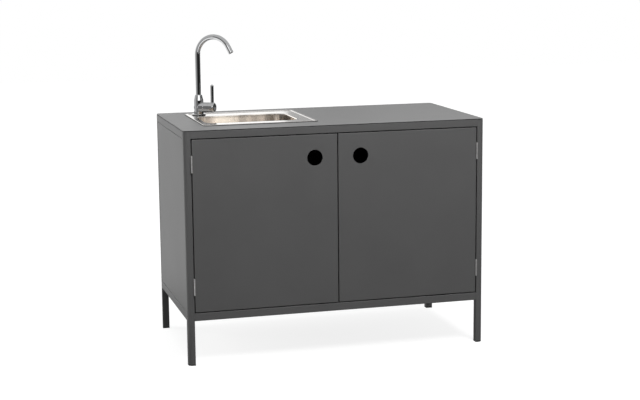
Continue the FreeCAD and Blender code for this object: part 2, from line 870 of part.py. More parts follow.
def add_sink_fixings():
    """Gasket under the rim and the clips that hold the sink down."""
    body = new_body()
    sketch = sketch_on(body, "XY_Plane")
    for inset in ("gasket_inset", "gasket_inset + gasket_width"):
        low = (f"sink_x - sink_width / 2 + {inset}", f"sink_y - sink_depth / 2 + {inset}")
        high = (f"sink_x + sink_width / 2 - ({inset})", f"sink_y + sink_depth / 2 - ({inset})")
        rectangle(sketch, low, high, ("sink_corner - gasket_inset",) * 4)
    feature(body, "Pad", sketch, "gasket_thickness")
    place(body, ("0", "0", "height"))
    node(body, "sink_gasket")
    edge_x = "(sink_width / 2 - clip_inset)"
    edge_y = "(sink_depth / 2 - clip_inset)"
    spots = []
    for way in (-1, 1):
        spots.append((f"sink_x + {way} * clip_spread", f"sink_y - {edge_y}", "y", -1))
        spots.append((f"sink_x + {way} * clip_spread", f"sink_y + {edge_y}", "y", 1))
        spots.append((f"sink_x + {way} * {edge_x}", "sink_y", "x", way))
    clips = []
    for x, y, axis, way in spots:
        out = f"{way} * clip_length"
        half = "clip_width / 2"
        if axis == "y":
            ys = sorted([f"{y} - {way} * clip_bolt_radius * 2", f"{y} + {out}"], key=number)
            low, high = (f"{x} - {half}", ys[0]), (f"{x} + {half}", ys[1])
        else:
            xs = sorted([f"{x} - {way} * clip_bolt_radius * 2", f"{x} + {out}"], key=number)
            low, high = (xs[0], f"{y} - {half}"), (xs[1], f"{y} + {half}")
        bar = span(low + ("worktop_under - clip_thickness",), high + ("worktop_under",))
        bolt = cylinder("clip_bolt_radius", "sink_under - worktop_under + clip_thickness",
                        (x, y, "worktop_under - clip_thickness"))
        clips.append(join([bar, bolt]))
    node(group(clips), "sink_clips")


def bored(outer, inner, length, foot, towards="+z"):
    """Plain ring or tube."""
    way = {"+z": ("0", "0", "-overrun"), "-z": ("0", "0", "overrun"), "+y": ("0", "-overrun", "0")}[towards]
    start = [f"{a} + {b}" for a, b in zip(foot, way)]
    return cut(cylinder(outer, length, foot, towards),
               [cylinder(inner, f"{length} + overrun * 2", start, towards)])


def add_strainer():
    """Drain body in the bowl floor, with its gasket, nut and lift-out basket."""
    x, y = "bowl_x", "bowl_y"
    flange = cylinder("flange_radius", "flange_thickness", (x, y, "bowl_floor"))
    wall = cylinder("drain_radius", "drain_fall", (x, y, "drain_base"))
    stub = cylinder("stub_radius", "stub_length", (x, y, "stub_end"))
    upper = cylinder("drain_radius - drain_wall", "bowl_floor + flange_thickness + overrun - step_z",
                     (x, y, "step_z"))
    lower = cylinder("drain_radius - drain_wall - step_width", "step_z - drain_base",
                     (x, y, "drain_base + drain_wall"))
    way_out = cylinder("pipe_bore", "stub_length + drain_wall + overrun * 2", (x, y, "stub_end - overrun"))
    node(cut(join([flange, wall, stub]), [upper, lower, way_out]), "drain_body")
    gasket = bored("drain_gasket_radius", "drain_radius + thread_clearance", "drain_gasket_thickness",
                   (x, y, "bowl_under - drain_gasket_thickness"))
    node(gasket, "drain_gasket")
    nut = bored("drain_nut_radius", "drain_radius + thread_clearance", "drain_nut_height",
                (x, y, "bowl_under - drain_gasket_thickness - drain_nut_height"))
    node(nut, "drain_nut")
    rim = cylinder("basket_rim_radius", "basket_sheet", (x, y, "step_z"))
    cup = cylinder("basket_radius", "basket_fall", (x, y, "step_z - basket_fall"))
    hollow = cylinder("basket_radius - basket_sheet", "basket_fall + overrun",
                      (x, y, "step_z - basket_fall + basket_sheet"))
    holes = ring_of_holes("basket_ring_radius", BASKET_HOLES)
    holes += ring_of_holes("basket_inner_ring_radius", BASKET_INNER_HOLES)
    shell = cut(join([rim, cup]), [hollow] + holes)
    post = cylinder("basket_post_radius", "basket_post_height", (x, y, "step_z - basket_fall"))
    knob = cylinder("basket_knob_radius", "basket_knob_height",
                    (x, y, "step_z - basket_fall + basket_post_height"))
    node(join([shell, post, knob]), "strainer_basket")


def ring_of_holes(ring_radius, count):
    """Round holes through the basket floor, evenly spaced on a circle."""
    holes = []
    for step in range(count):
        angle = f"{step} * 360 / {count}"
        spot = (f"bowl_x + {ring_radius} * cos({angle})", f"bowl_y + {ring_radius} * sin({angle})",
                "step_z - basket_fall - overrun")
        holes.append(cylinder("basket_hole_radius", "basket_sheet + overrun * 2", spot))
    return holes


def add_trap():
    """Bottle trap below the drain, with its outlet pipe towards the hose opening."""
    x, y = "bowl_x", "bowl_y"
    inlet_foot = (x, y, "inlet_top - inlet_length")
    node(bored("pipe_radius", "pipe_radius - pipe_wall", "inlet_length", inlet_foot), "trap_inlet_pipe")
    bottle = cylinder("bottle_radius", "bottle_height", (x, y, "bottle_top - bottle_height"))
    neck = cylinder("stub_radius", "bottle_neck", (x, y, "bottle_top"))
    port = cylinder("stub_radius", "bottle_radius + port_length", (x, y, "outlet_z"), "+y")
    hollow = cylinder("bottle_radius - bottle_wall", "bottle_height - bottle_wall * 2",
                      (x, y, "bottle_top - bottle_height + bottle_wall"))
    neck_hole = cylinder("pipe_bore", "bottle_neck + bottle_wall + overrun * 2",
                         (x, y, "bottle_top - bottle_wall - overrun"))
    port_hole = cylinder("pipe_bore", "bottle_radius + port_length + overrun", (x, y, "outlet_z"), "+y")
    node(cut(join([bottle, neck, port]), [hollow, neck_hole, port_hole]), "trap_bottle")
    start = f"({y} + bottle_radius)"
    run = f"(back - outlet_gap - {start})"
    pipe = cylinder("pipe_radius", f"{run} - spigot_length", (x, start, "outlet_z"), "+y")
    spigot = cylinder("pipe_radius - spigot_step", run, (x, start, "outlet_z"), "+y")
    outlet_bore = cylinder("pipe_radius - pipe_wall", f"{run} + overrun * 2",
                           (x, f"{start} - overrun", "outlet_z"), "+y")
    node(cut(join([pipe, spigot]), [outlet_bore]), "trap_outlet_pipe")
    spots = [
        ((x, y, "stub_end"), "+z"),
        ((x, y, "bottle_top + bottle_neck - slip_nut_height"), "+z"),
        ((x, f"{start} + port_length - slip_nut_height", "outlet_z"), "+y"),
    ]
    nuts = [bored("slip_nut_radius", "nut_bore", "slip_nut_height", spot, way) for spot, way in spots]
    node(group(nuts), "trap_slip_nuts")


def turned(item, spot, turn):
    """Set a piece that was built about its own origin at its place, turned about the upright axis."""
    item.Placement = Placement(Vector(), Rotation(Vector(0, 0, 1), number(turn)))
    place(item, spot)
    return item


def add_tap_body():
    """Tap on the sink ledge: gasket, base ring, body with side housing, shank and back nut."""
    bore = "shank_radius + shank_clearance"
    node(bored("base_gasket_radius", bore, "base_gasket_thickness", ("tap_x", "tap_y", "ledge_top")),
         "tap_base_gasket")
    node(bored("base_radius", bore, "base_height", ("tap_x", "tap_y", "ledge_top + base_gasket_thickness")),
         "tap_base_ring")
    trunk = cylinder("body_radius", "body_height", ("0", "0", "base_top"))
    shoulder = cone("body_radius", "shoulder_radius", "shoulder_height", ("0", "0", "body_top"))
    barrel = cylinder("housing_radius", "pivot_offset + dome_radius", ("0", "0", "housing_z"), "+x")
    dome = ball("dome_radius", ("pivot_offset", "0", "housing_z"))
    branch = cylinder("housing_radius", "pivot_offset", ("0", "0", "housing_z"), "+x")
    spout_hole = cylinder("spout_radius + spout_clearance", "spout_insert + overrun",
                          ("0", "0", "spout_foot"))
    chamber = cylinder("cartridge_radius + cartridge_clearance",
                       "cartridge_back + pivot_offset + dome_radius + overrun",
                       ("-cartridge_back - cartridge_clearance", "0", "housing_z"), "+x")
    water_way = cylinder("water_way", "spout_foot - housing_z + overrun", ("0", "0", "housing_z"))
    spigot_hole = cylinder("shank_spigot_radius + shank_clearance", "shank_spigot_length + shank_clearance",
                           ("0", "0", "base_top"))
    body = cut(join([trunk, shoulder, common([barrel, dome]), branch]),
               [spout_hole, chamber, water_way, spigot_hole])
    node(turned(body, TAP_FOOT, "housing_turn"), "tap_body")
    shank_foot = "base_top - shank_length"
    shank = cylinder("shank_radius", "shank_length", ("tap_x", "tap_y", shank_foot))
    spigot = cylinder("shank_spigot_radius", "shank_length + shank_spigot_length",
                      ("tap_x", "tap_y", shank_foot))
    ports = [cylinder("port_bore", "port_depth + overrun",
                      (f"tap_x + {way} * port_spread", "tap_y", f"{shank_foot} - overrun"))
             for way in (-1, 1)]
    node(cut(join([shank, spigot]), ports), "tap_shank")
    nut_foot = "sink_under - washer_thickness - backnut_height"
    flange_foot = "sink_under - washer_thickness"
    flange = cylinder("washer_radius", "washer_thickness", ("tap_x", "tap_y", flange_foot))
    nut = cylinder("backnut_radius", "backnut_height", ("tap_x", "tap_y", nut_foot))
    thread = cylinder(bore, "washer_thickness + backnut_height + overrun * 2",
                      ("tap_x", "tap_y", f"{nut_foot} - overrun"))
    node(cut(join([flange, nut]), [thread]), "tap_backnut")


def add_spout():
    """Gooseneck spout swept along an upright, a large arc, and the nozzle at its end."""
    body = new_body()
    section = sketch_on(body, "XY_Plane", "spout_foot + spout_end_gap")
    disc(section, "spout_radius")
    disc(section, "spout_radius - spout_wall")
    path = sketch_on(body, "XZ_Plane")
    start = "spout_foot + spout_end_gap"
    foot = Vector(0, number(start), 0)
    bend = Vector(0, number("neck_top"), 0)
    upright = path.addGeometry(Part.LineSegment(foot, bend), False)
    fix(path, "DistanceX", upright, 1, "0")
    fix(path, "DistanceY", upright, 1, start)
    path.addConstraint(Sketcher.Constraint("Vertical", upright))
    fix(path, "DistanceY", upright, 2, "neck_top")
    radius = number("arc_radius")
    half_turn = FreeCAD.Units.Quantity(180, FreeCAD.Units.Angle).getValueAs("rad").Value
    sweep = number("arc_sweep") * half_turn / 180
    circle = Part.Circle(Vector(radius, bend.y, 0), Vector(0, 0, 1), radius)
    arc = path.addGeometry(Part.ArcOfCircle(circle, half_turn - sweep, half_turn), False)
    path.addConstraint(Sketcher.Constraint("Tangent", upright, 2, arc, 2))
    row = path.addConstraint(Sketcher.Constraint("Radius", arc, radius))
    bind(path, f"Constraints[{row}]", "arc_radius")
    fix(path, "DistanceX", arc, 1, "arc_radius * (1 - cos(arc_sweep))")
    pipe = body.newObject("PartDesign::AdditivePipe", "pipe")
    pipe.Profile = section
    pipe.Spine = (path, ["Edge1", "Edge2"])
    node(turned(body, TAP_FOOT, "spout_turn"), "spout")
    outer = cylinder("spout_radius", "nozzle_length", ("0", "0", "0"))
    mouth = cylinder("spout_radius - nozzle_wall", "nozzle_recess + overrun",
                     ("0", "0", "nozzle_length - nozzle_recess"))
    way_in = cylinder("spout_radius - nozzle_wall", "nozzle_length - nozzle_recess - nozzle_sieve + overrun",
                      ("0", "0", "-overrun"))
    jets = []
    for step in range(SIEVE_HOLES):
        angle = f"{step} * 360 / {SIEVE_HOLES}"
        spot = (f"sieve_ring_radius * cos({angle})", f"sieve_ring_radius * sin({angle})", "0")
        jets.append(cylinder("sieve_hole_radius", "nozzle_length", spot))
    nozzle = cut(outer, [mouth, way_in] + jets)
    lean = Rotation(Vector(0, 1, 0), number("arc_sweep"))
    swing = Rotation(Vector(0, 0, 1), number("spout_turn"))
    nozzle.Placement = Placement(Vector(), swing.multiply(lean))
    reach = "arc_radius * (1 - cos(arc_sweep))"
    place(nozzle, (f"tap_x + ({reach}) * cos(spout_turn)", f"tap_y + ({reach}) * sin(spout_turn)",
                   "neck_top + arc_radius * sin(arc_sweep)"))
    node(nozzle, "spout_nozzle")


def add_lever():
    """Cartridge in the side housing, and the hub and rod that work it."""
    axis = ("0", "housing_z")
    shell = cylinder("cartridge_radius", "cartridge_back + pivot_offset + cartridge_front",
                     ("-cartridge_back",) + axis, "+x")
    chamber = cylinder("core_radius + core_clearance", "core_radius + cartridge_front + overrun",
                       ("core_back",) + axis, "+x")
    tail_bore = cylinder("tail_radius + stem_clearance", "core_back + cartridge_back + overrun",
                         ("-cartridge_back - overrun",) + axis, "+x")
    shell = cut(shell, [chamber, tail_bore])
    node(turned(shell, TAP_FOOT, "housing_turn"), "cartridge_shell")
    core = ball("core_radius", ("pivot_offset",) + axis)
    tail = cylinder("tail_radius", "tail_length + core_radius",
                    ("pivot_offset - core_radius - tail_length",) + axis, "+x")
    node(turned(join([core, tail]), TAP_FOOT, "housing_turn"), "cartridge_core")
    stem = cylinder("stem_radius", "stem_end - stem_taper - core_front", ("core_front",) + axis, "+x")
    tip = cone("stem_radius", "stem_radius - stem_taper", "stem_taper",
               ("stem_end - stem_taper",) + axis, "+x")
    node(turned(join([stem, tip]), TAP_FOOT, "housing_turn"), "lever_stem")
    hollow = ball("dome_radius + dome_gap", ("pivot_offset",) + axis)
    bore = cylinder("stem_radius + stem_clearance", "stem_end + dome_gap", ("0",) + axis, "+x")
    seat = cylinder("rod_radius + rod_clearance", "housing_radius",
                    ("rod_offset", "0", "housing_z + rod_seat"))
    hub = cut(rounded_hub(), [hollow, bore, seat])
    node(turned(hub, TAP_FOOT, "housing_turn"), "lever_hub")
    rod = cylinder("rod_radius", "rod_rise - rod_radius - rod_seat",
                   ("rod_offset", "0", "housing_z + rod_seat"))
    end = ball("rod_radius", ("rod_offset", "0", "housing_z + rod_rise - rod_radius"))
    node(turned(join([rod, end]), TAP_FOOT, "housing_turn"), "lever_rod")


def rounded_hub():
    """Hub blank with a softly rounded end."""
    body = new_body()
    sketch = sketch_on(body, "YZ_Plane", "pivot_offset")
    disc(sketch, "housing_radius", "0", "housing_z")
    pad = feature(body, "Pad", sketch, "hub_end - pivot_offset")
    round_edges(body, pad, lambda edge: abs(edge.BoundBox.XMin - number("hub_end")) < TOLERANCE, "hub_round")
    return body


def check_and_export():
    """Recompute, refuse a failed object or shape, and write one STEP file for each sub-part."""
    doc.recompute()
    for item in doc.Objects:
        if "Invalid" in item.State or "Error" in item.State:
            raise RuntimeError(f"{item.Label} ({item.Name}) failed: {item.State}")
    os.makedirs("parts", exist_ok=True)
    for item in nodes:
        shape = item.Shape
        if shape.isNull() or not shape.isValid() or not shape.Solids:
            raise RuntimeError(f"{item.Label} has no valid solid")
        shape.exportStep(f"parts/{item.Label}.step")
        print(f"{item.Label}: {len(shape.Solids)} solids, {shape.Volume:.1f} mm3")


fill_sheet()
add_worktop()
add_posts()
add_feet()
add_rails()
add_panels()
add_doors()
add_hinges()
add_catch()
add_sink()
add_sink_fixings()
add_strainer()
add_trap()
add_tap_body()
add_spout()
add_lever()
check_and_export()
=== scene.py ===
"""Outdoor sink cabinet in powder-coated steel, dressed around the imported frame."""

import json
import logging
import math
from collections.abc import Iterable, Sequence
from dataclasses import dataclass, field
from enum import Enum
from typing import Union

import bmesh
import bpy
from bmesh.types import BMEdge, BMesh, BMFace, BMVert
from mathutils import Matrix, Vector


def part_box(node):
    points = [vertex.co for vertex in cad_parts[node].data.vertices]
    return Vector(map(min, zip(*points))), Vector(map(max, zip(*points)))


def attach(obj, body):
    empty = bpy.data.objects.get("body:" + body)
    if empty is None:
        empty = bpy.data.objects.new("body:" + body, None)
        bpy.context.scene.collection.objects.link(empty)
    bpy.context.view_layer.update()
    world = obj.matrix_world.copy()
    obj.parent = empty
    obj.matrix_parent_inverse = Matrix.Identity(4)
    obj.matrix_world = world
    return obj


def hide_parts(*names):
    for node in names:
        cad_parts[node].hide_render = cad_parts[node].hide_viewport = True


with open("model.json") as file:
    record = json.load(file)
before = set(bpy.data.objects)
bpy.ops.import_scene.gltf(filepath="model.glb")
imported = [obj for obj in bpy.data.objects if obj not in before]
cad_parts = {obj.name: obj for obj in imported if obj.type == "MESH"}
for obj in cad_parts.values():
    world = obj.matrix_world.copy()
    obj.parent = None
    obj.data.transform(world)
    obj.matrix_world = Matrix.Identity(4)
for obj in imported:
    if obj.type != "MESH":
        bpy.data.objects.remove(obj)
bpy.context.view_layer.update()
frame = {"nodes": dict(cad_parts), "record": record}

MM = 0.001
FULL_TURN = math.tau
QUARTER_TURN = math.pi / 2
MERGE_DISTANCE = 0.001 * MM
SEAM_DISTANCE = 0.002 * MM
FLAT_ANGLE = math.radians(0.5)
SHARP_ANGLE = math.radians(40.0)
ALIGNED = 0.999
FACING = 0.9
LINING = 1
BACKING = 2
BOWL_CENTRE = (-285 * MM, 2.1 * MM)

log = logging.getLogger("sink_cabinet")

Point = tuple[float, float, float]
Pair = tuple[float, float]
Corners = tuple[Pair, ...]
Rings = tuple[tuple[float, int], ...]
Colour = tuple[float, float, float, float]
Input = Union["Value", float, Sequence[float]]


def grey(level: float, warmth: float = 0.0) -> Colour:
    """Linear colour from a level, a little warmer or cooler than neutral.

    Args:
        level: Linear brightness.
        warmth: Share added to red and taken from blue.

    Returns:
        The colour with full alpha.
    """
    return (level * (1 + warmth), level, level * (1 - warmth), 1.0)


WHITE = grey(1.0)


class Value:
    """Shader value whose sums add Math nodes."""

    def __init__(self, sheet: "NodeSheet", socket: bpy.types.NodeSocket) -> None:
        """Keep the socket and the sheet that it belongs to."""
        self.sheet = sheet
        self.socket = socket

    def _math(self, operation: str, first: Input, second: Input) -> "Value":
        """Add one Math node."""
        return self.sheet.add("ShaderNodeMath", {"operation": operation}, {0: first, 1: second})

    def __add__(self, other: Input) -> "Value":
        """Sum."""
        return self._math("ADD", self, other)

    def __sub__(self, other: Input) -> "Value":
        """Difference."""
        return self._math("SUBTRACT", self, other)

    def __rsub__(self, other: Input) -> "Value":
        """Difference from a number."""
        return self._math("SUBTRACT", other, self)

    def __mul__(self, other: Input) -> "Value":
        """Product."""
        return self._math("MULTIPLY", self, other)

    def power(self, exponent: float) -> "Value":
        """Value raised to a power."""
        return self._math("POWER", self, exponent)

    def larger(self, other: Input) -> "Value":
        """Larger of two values."""
        return self._math("MAXIMUM", self, other)

    __radd__ = __add__
    __rmul__ = __mul__


class NodeSheet:
    """Node tree of one material or world."""

    def __init__(self, owner: bpy.types.ID) -> None:
        """Clear the owner's tree.

        Args:
            owner: Material or world whose nodes are built here.
        """
        owner.use_nodes = True
        self.owner = owner
        self.tree = owner.node_tree
        self.tree.nodes.clear()

    def add(self, kind: str, settings: dict | None = None, inputs: dict | None = None,
            output: int | str = 0) -> Value:
        """Add one node.

        Args:
            kind: Node type.
            settings: Properties of the node, and the stops of a ramp, set first.
            inputs: Values or links of its sockets, by name or number.
            output: Socket that is handed back.

        Returns:
            The chosen output.
        """
        node = self.tree.nodes.new(kind)
        for key, value in (settings or {}).items():
            if key == "stops":
                self._set_stops(node, value)
            else:
                setattr(node, key, value)
        for key, value in (inputs or {}).items():
            if isinstance(value, Value):
                self.tree.links.new(value.socket, node.inputs[key])
            else:
                node.inputs[key].default_value = value
        return Value(self, node.outputs[output]) if node.outputs else Value(self, None)

    @staticmethod
    def _set_stops(node: bpy.types.Node, stops: Corners) -> None:
        """Set a ramp's stops.

        Args:
            node: Ramp node.
            stops: Place and grey level of each stop.
        """
        ramp = node.color_ramp
        while len(ramp.elements) < len(stops):
            ramp.elements.new(1.0)
        for element, (place, level) in zip(ramp.elements, stops):
            element.position = place
            element.color = (level, level, level, 1.0)

    def place(self) -> Value:
        """Object coordinates in metres."""
        return self.add("ShaderNodeTexCoord", output="Object")

    def noise(self, scale: float, detail: float = 2.0, roughness: float = 0.5,
              stretch: Point = (1.0, 1.0, 1.0), shift: float = 0.0) -> Value:
        """Noise over the object, stretched along an axis where its scale is small.

        Args:
            scale: Waves per metre.
            detail: Octaves.
            roughness: Weight of the fine octaves.
            stretch: Share of the scale along each axis.
            shift: Way that the pattern is moved along x, in metres.

        Returns:
            The noise's factor.
        """
        spot = self.add("ShaderNodeMapping", inputs={"Vector": self.place(), "Scale": stretch,
                                                     "Location": (shift, 0.0, 0.0)})
        return self.add("ShaderNodeTexNoise",
                        inputs={"Vector": spot, "Scale": scale, "Detail": detail, "Roughness": roughness})

    def toned(self, colour: Colour, pattern: Value, tones: Corners) -> Value:
        """Colour made darker and lighter by a pattern.

        Args:
            colour: Colour at a tone of 1.
            pattern: Value that runs over the surface.
            tones: Pattern value and tone of each stop.

        Returns:
            The varied colour.
        """
        tone = self.add("ShaderNodeValToRGB", {"stops": tones}, {"Fac": pattern})
        return self.add("ShaderNodeMix", {"data_type": "RGBA", "blend_type": "MULTIPLY"},
                        {0: 1.0, 6: colour, 7: tone}, 2)

    def bump(self, height: Value, depth: float) -> Value:
        """Bumped normal, where a height of 1 stands for a depth in metres."""
        return self.add("ShaderNodeBump", inputs={"Height": height, "Distance": depth, "Strength": 1.0})

    def surface(self, **inputs: Input) -> None:
        """End the material in a Principled shader.

        Args:
            inputs: Values or links of its sockets, with underscores for the spaces in their names.
        """
        sockets = {key.replace("_", " "): value for key, value in inputs.items()}
        shader = self.add("ShaderNodeBsdfPrincipled", inputs=sockets)
        self.add("ShaderNodeOutputMaterial", inputs={"Surface": shader})


class Finish:
    """A finish that builds its material once."""

    _made: dict["Finish", bpy.types.Material] = {}

    def material(self) -> bpy.types.Material:
        """Material of this finish, made at the first call.

        Returns:
            The material.
        """
        if self not in Finish._made:
            sheet = NodeSheet(bpy.data.materials.new(self.name))
            self.dress(sheet)
            Finish._made[self] = sheet.owner
        return Finish._made[self]

    def dress(self, sheet: NodeSheet) -> None:
        """Build the nodes; each finish has its own."""
        raise NotImplementedError


@dataclass(frozen=True)
class PowderCoat(Finish):
    """Fine-textured powder coat: orange peel, pinpoint grain, faint cloudiness."""

    name: str
    level: float
    roughness: float
    peel_scale: float = 420.0
    grain_scale: float = 2600.0
    cloud_scale: float = 5.0
    peel_depth: float = 0.05 * MM
    grain_depth: float = 0.012 * MM
    peel_weight: float = 0.8
    cloud_weight: float = 0.6
    tones: Corners = ((0.3, 0.94), (0.7, 1.06))
    gloss_spread: float = 0.08

    def dress(self, sheet: NodeSheet) -> None:
        """Build the nodes of the coat.

        Args:
            sheet: Node tree of its material.
        """
        cloud = sheet.noise(self.cloud_scale, detail=3.0)
        peel = sheet.noise(self.peel_scale, detail=1.0)
        grain = sheet.noise(self.grain_scale)
        pattern = cloud * self.cloud_weight + grain * (1.0 - self.cloud_weight)
        height = peel * self.peel_weight + grain * (self.grain_depth / self.peel_depth)
        sheet.surface(Base_Color=sheet.toned(grey(self.level), pattern, self.tones),
                      Roughness=self.roughness - self.gloss_spread / 2 + self.gloss_spread * cloud,
                      Normal=sheet.bump(height, self.peel_depth))


@dataclass(frozen=True)
class BrushedSteel(Finish):
    """Satin steel with fine brushing along one axis, slow waves and soft bands of tone; bands made strong
    and shifted into place paint reflections into the colour.
    """

    name: str
    level: float
    warmth: float
    roughness: float
    along: Point
    metal: float = 0.95
    wave_depth: float = 0.15 * MM
    wave_scale: float = 9.0
    wave_stretch: Point = (1.0, 1.0, 1.0)
    band_scale: float = 14.0
    # Moves the bands along x; on the bowl this sets where the painted reflection bands fall.
    reflection_band_shift: float = 0.0
    tones: Corners = ((0.42, 0.97), (0.56, 1.03))
    line_scale: float = 1500.0
    line_depth: float = 0.004 * MM
    line_weight: float = 0.2
    line_gloss: float = 0.1
    band_gloss: float = 0.04

    def dress(self, sheet: NodeSheet) -> None:
        """Build the nodes of the steel.

        Args:
            sheet: Node tree of its material.
        """
        lines = sheet.noise(self.line_scale, detail=3.0, roughness=0.6, stretch=self.along)
        # Bands darken and lighten the colour: a faint random tone when gentle, painted reflection bands
        # when strong, as on the bowl.
        tone_and_reflection_bands = sheet.noise(self.band_scale, detail=1.0, stretch=self.wave_stretch, shift=self.reflection_band_shift)
        waves = sheet.noise(self.wave_scale, detail=1.0, stretch=self.wave_stretch)
        pattern = lines * self.line_weight + tone_and_reflection_bands * (1.0 - self.line_weight)
        gloss = self.roughness - (self.line_gloss + self.band_gloss) / 2
        height = lines * (self.line_depth / self.wave_depth) + waves
        sheet.surface(Base_Color=sheet.toned(grey(self.level, self.warmth), pattern, self.tones),
                      Metallic=self.metal,
                      Roughness=gloss + self.line_gloss * lines + self.band_gloss * tone_and_reflection_bands,
                      Normal=sheet.bump(height, self.wave_depth))


@dataclass(frozen=True)
class Chrome(Finish):
    """Bright plating with the slightest waviness and a breath of smudging."""

    name: str
    level: float = 0.62
    warmth: float = -0.01
    least_roughness: float = 0.02
    smudge_scale: float = 60.0
    smudge_gloss: float = 0.07
    wave_scale: float = 45.0
    wave_depth: float = 0.05 * MM

    def dress(self, sheet: NodeSheet) -> None:
        """Build the nodes of the plating.

        Args:
            sheet: Node tree of its material.
        """
        smudge = sheet.noise(self.smudge_scale, detail=4.0, roughness=0.6)
        wave = sheet.noise(self.wave_scale, detail=0.0)
        sheet.surface(Base_Color=grey(self.level, self.warmth), Metallic=1.0,
                      Roughness=self.least_roughness + self.smudge_gloss * smudge.power(2.0),
                      Normal=sheet.bump(wave, self.wave_depth))


@dataclass(frozen=True)
class Moulded(Finish):
    """Matte moulded plastic or rubber: a soft bloom over a fine spark-eroded grain."""

    name: str
    colour: Colour
    roughness: float
    metal: float = 0.0
    bloom_scale: float = 20.0
    bloom_detail: float = 3.0
    bloom_roughness: float = 0.5
    grain_scale: float = 1800.0
    grain_depth: float = 0.03 * MM
    tones: Corners = ((0.3, 0.85), (0.7, 1.15))
    gloss_spread: float = 0.12

    def dress(self, sheet: NodeSheet) -> None:
        """Build the nodes of the moulding, or of the metal.

        Args:
            sheet: Node tree of its material.
        """
        grain = sheet.noise(self.grain_scale)
        bloom = sheet.noise(self.bloom_scale, self.bloom_detail, self.bloom_roughness)
        sheet.surface(Base_Color=sheet.toned(self.colour, bloom, self.tones), Metallic=self.metal,
                      Roughness=self.roughness - self.gloss_spread / 2 + self.gloss_spread * bloom,
                      Normal=sheet.bump(grain, self.grain_depth))


@dataclass(frozen=True)
class RawMetal(Moulded):
    """Turned or plated metal, whose bloom is a soft tarnish."""

    metal: float = 1.0
    bloom_scale: float = 70.0
    bloom_detail: float = 4.0
    bloom_roughness: float = 0.6
    grain_scale: float = 1200.0
    grain_depth: float = 0.01 * MM
    tones: Corners = ((0.3, 0.82), (0.7, 1.08))
    gloss_spread: float = 0.16


# Bowl lining: a brighter, warmer copy of the sink steel. Its strong bands, shifted into place, paint the
# bright and dark reflections of the bowl walls into its colour.
BOWL_STEEL_PAINTED_REFLECTIONS = BrushedSteel("bowl_steel_painted_reflections", level=0.86, warmth=0.08, roughness=0.13, along=(1.0, 1.0, 0.03),
                          wave_depth=2.0 * MM, wave_scale=8.0, wave_stretch=(1.0, 0.2, 0.06),
                          band_scale=13.0, reflection_band_shift=1.235, tones=((0.42, 0.56), (0.56, 1.1)))
UNDER_STEEL = BrushedSteel("under_steel", level=0.4, warmth=0.02, roughness=0.5, along=(0.02, 1.0, 1.0),
                           metal=0.8)


class Slot(Enum):
    """Material slots of the record, each with the finish of its name."""

    COAT = PowderCoat("graphite_coat", level=0.135, roughness=0.5)
    STEEL = BrushedSteel("sink_steel", level=0.62, warmth=0.035, roughness=0.14, along=(0.02, 1.0, 1.0))
    CHROME = Chrome("tap_chrome")
    ZINC = RawMetal("hinge_zinc", grey(0.6, 0.01), roughness=0.42, metal=0.6)
    PLASTIC = Moulded("black_plastic", grey(0.02), roughness=0.5)
    RUBBER = Moulded("black_rubber", grey(0.015), roughness=0.7)
    BRASS = RawMetal("brass", (0.62, 0.44, 0.19, 1.0), roughness=0.32)


def mesh_data(name: str, mesh: BMesh) -> bpy.types.Mesh:
    """Mesh data from a bmesh, which is freed.

    Args:
        name: Name of the data.
        mesh: Mesh to keep.

    Returns:
        The new data.
    """
    data = bpy.data.meshes.new(name)
    mesh.to_mesh(data)
    mesh.free()
    return data


def in_scene(name: str, data: bpy.types.ID) -> bpy.types.Object:
    """Object of some data, linked to the scene.

    Args:
        name: Name of the object.
        data: Its mesh, lamp or camera.

    Returns:
        The new object.
    """
    item = bpy.data.objects.new(name, data)
    bpy.context.scene.collection.objects.link(item)
    return item


@dataclass
class Piece:
    """One visible piece: a mesh on the body of the CAD node that it stands for."""

    name: str
    mesh: BMesh
    slot: Slot
    node: str
    lining: Finish | None = None
    backing: Finish | None = None
    smooth_angle: float = 35.0
    sheet_thickness: float = 0.0

    def place(self) -> bpy.types.Object:
        """Turn the mesh into a finished object.

        Returns:
            The object, which rides on the body of its node.
        """
        data = mesh_data(self.name, self.mesh)
        data.shade_smooth()
        data.set_sharp_from_angle(angle=math.radians(self.smooth_angle))
        for finish in (self.slot.value, self.lining, self.backing):
            if finish:
                data.materials.append(finish.material())
        item = in_scene(self.name, data)
        if self.sheet_thickness:
            wall = item.modifiers.new("wall", "SOLIDIFY")
            wall.thickness = self.sheet_thickness
            wall.offset = -1.0
            wall.use_even_offset = True
            wall.material_offset = BACKING if self.backing else 0
        weighted = item.modifiers.new("normals", "WEIGHTED_NORMAL")
        weighted.keep_sharp = True
        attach(item, BODY_OF[self.node])
        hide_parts(self.node)
        log.info("placed %s", self.name)
        return item


BODY_OF = {node: body for body, nodes in frame["record"]["behaviour"]["bodies"].items() for node in nodes}


def node_box(node: str) -> tuple[Vector, Vector]:
    """Lowest and highest corner of a CAD node."""
    low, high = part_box(node)
    return Vector(low), Vector(high)


def axis_of(node: str) -> Vector:
    """Plan position of the upright axis of a round CAD node."""
    low, high = node_box(node)
    return ((low + high) / 2).to_2d()


def sharp_edges(mesh: BMesh) -> list[BMEdge]:
    """Edges where the surface turns sharply."""
    return [edge for edge in mesh.edges
            if len(edge.link_faces) == 2 and edge.calc_face_angle(0.0) > SHARP_ANGLE]


def round_off(mesh: BMesh, edges: Iterable[BMEdge], width: float, segments: int = 2) -> None:
    """Round edges by a bevel with a circular profile."""
    bmesh.ops.bevel(mesh, geom=list(edges), offset=width, offset_type="OFFSET", affect="EDGES",
                    segments=segments, profile=0.5, material=-1, clamp_overlap=True)


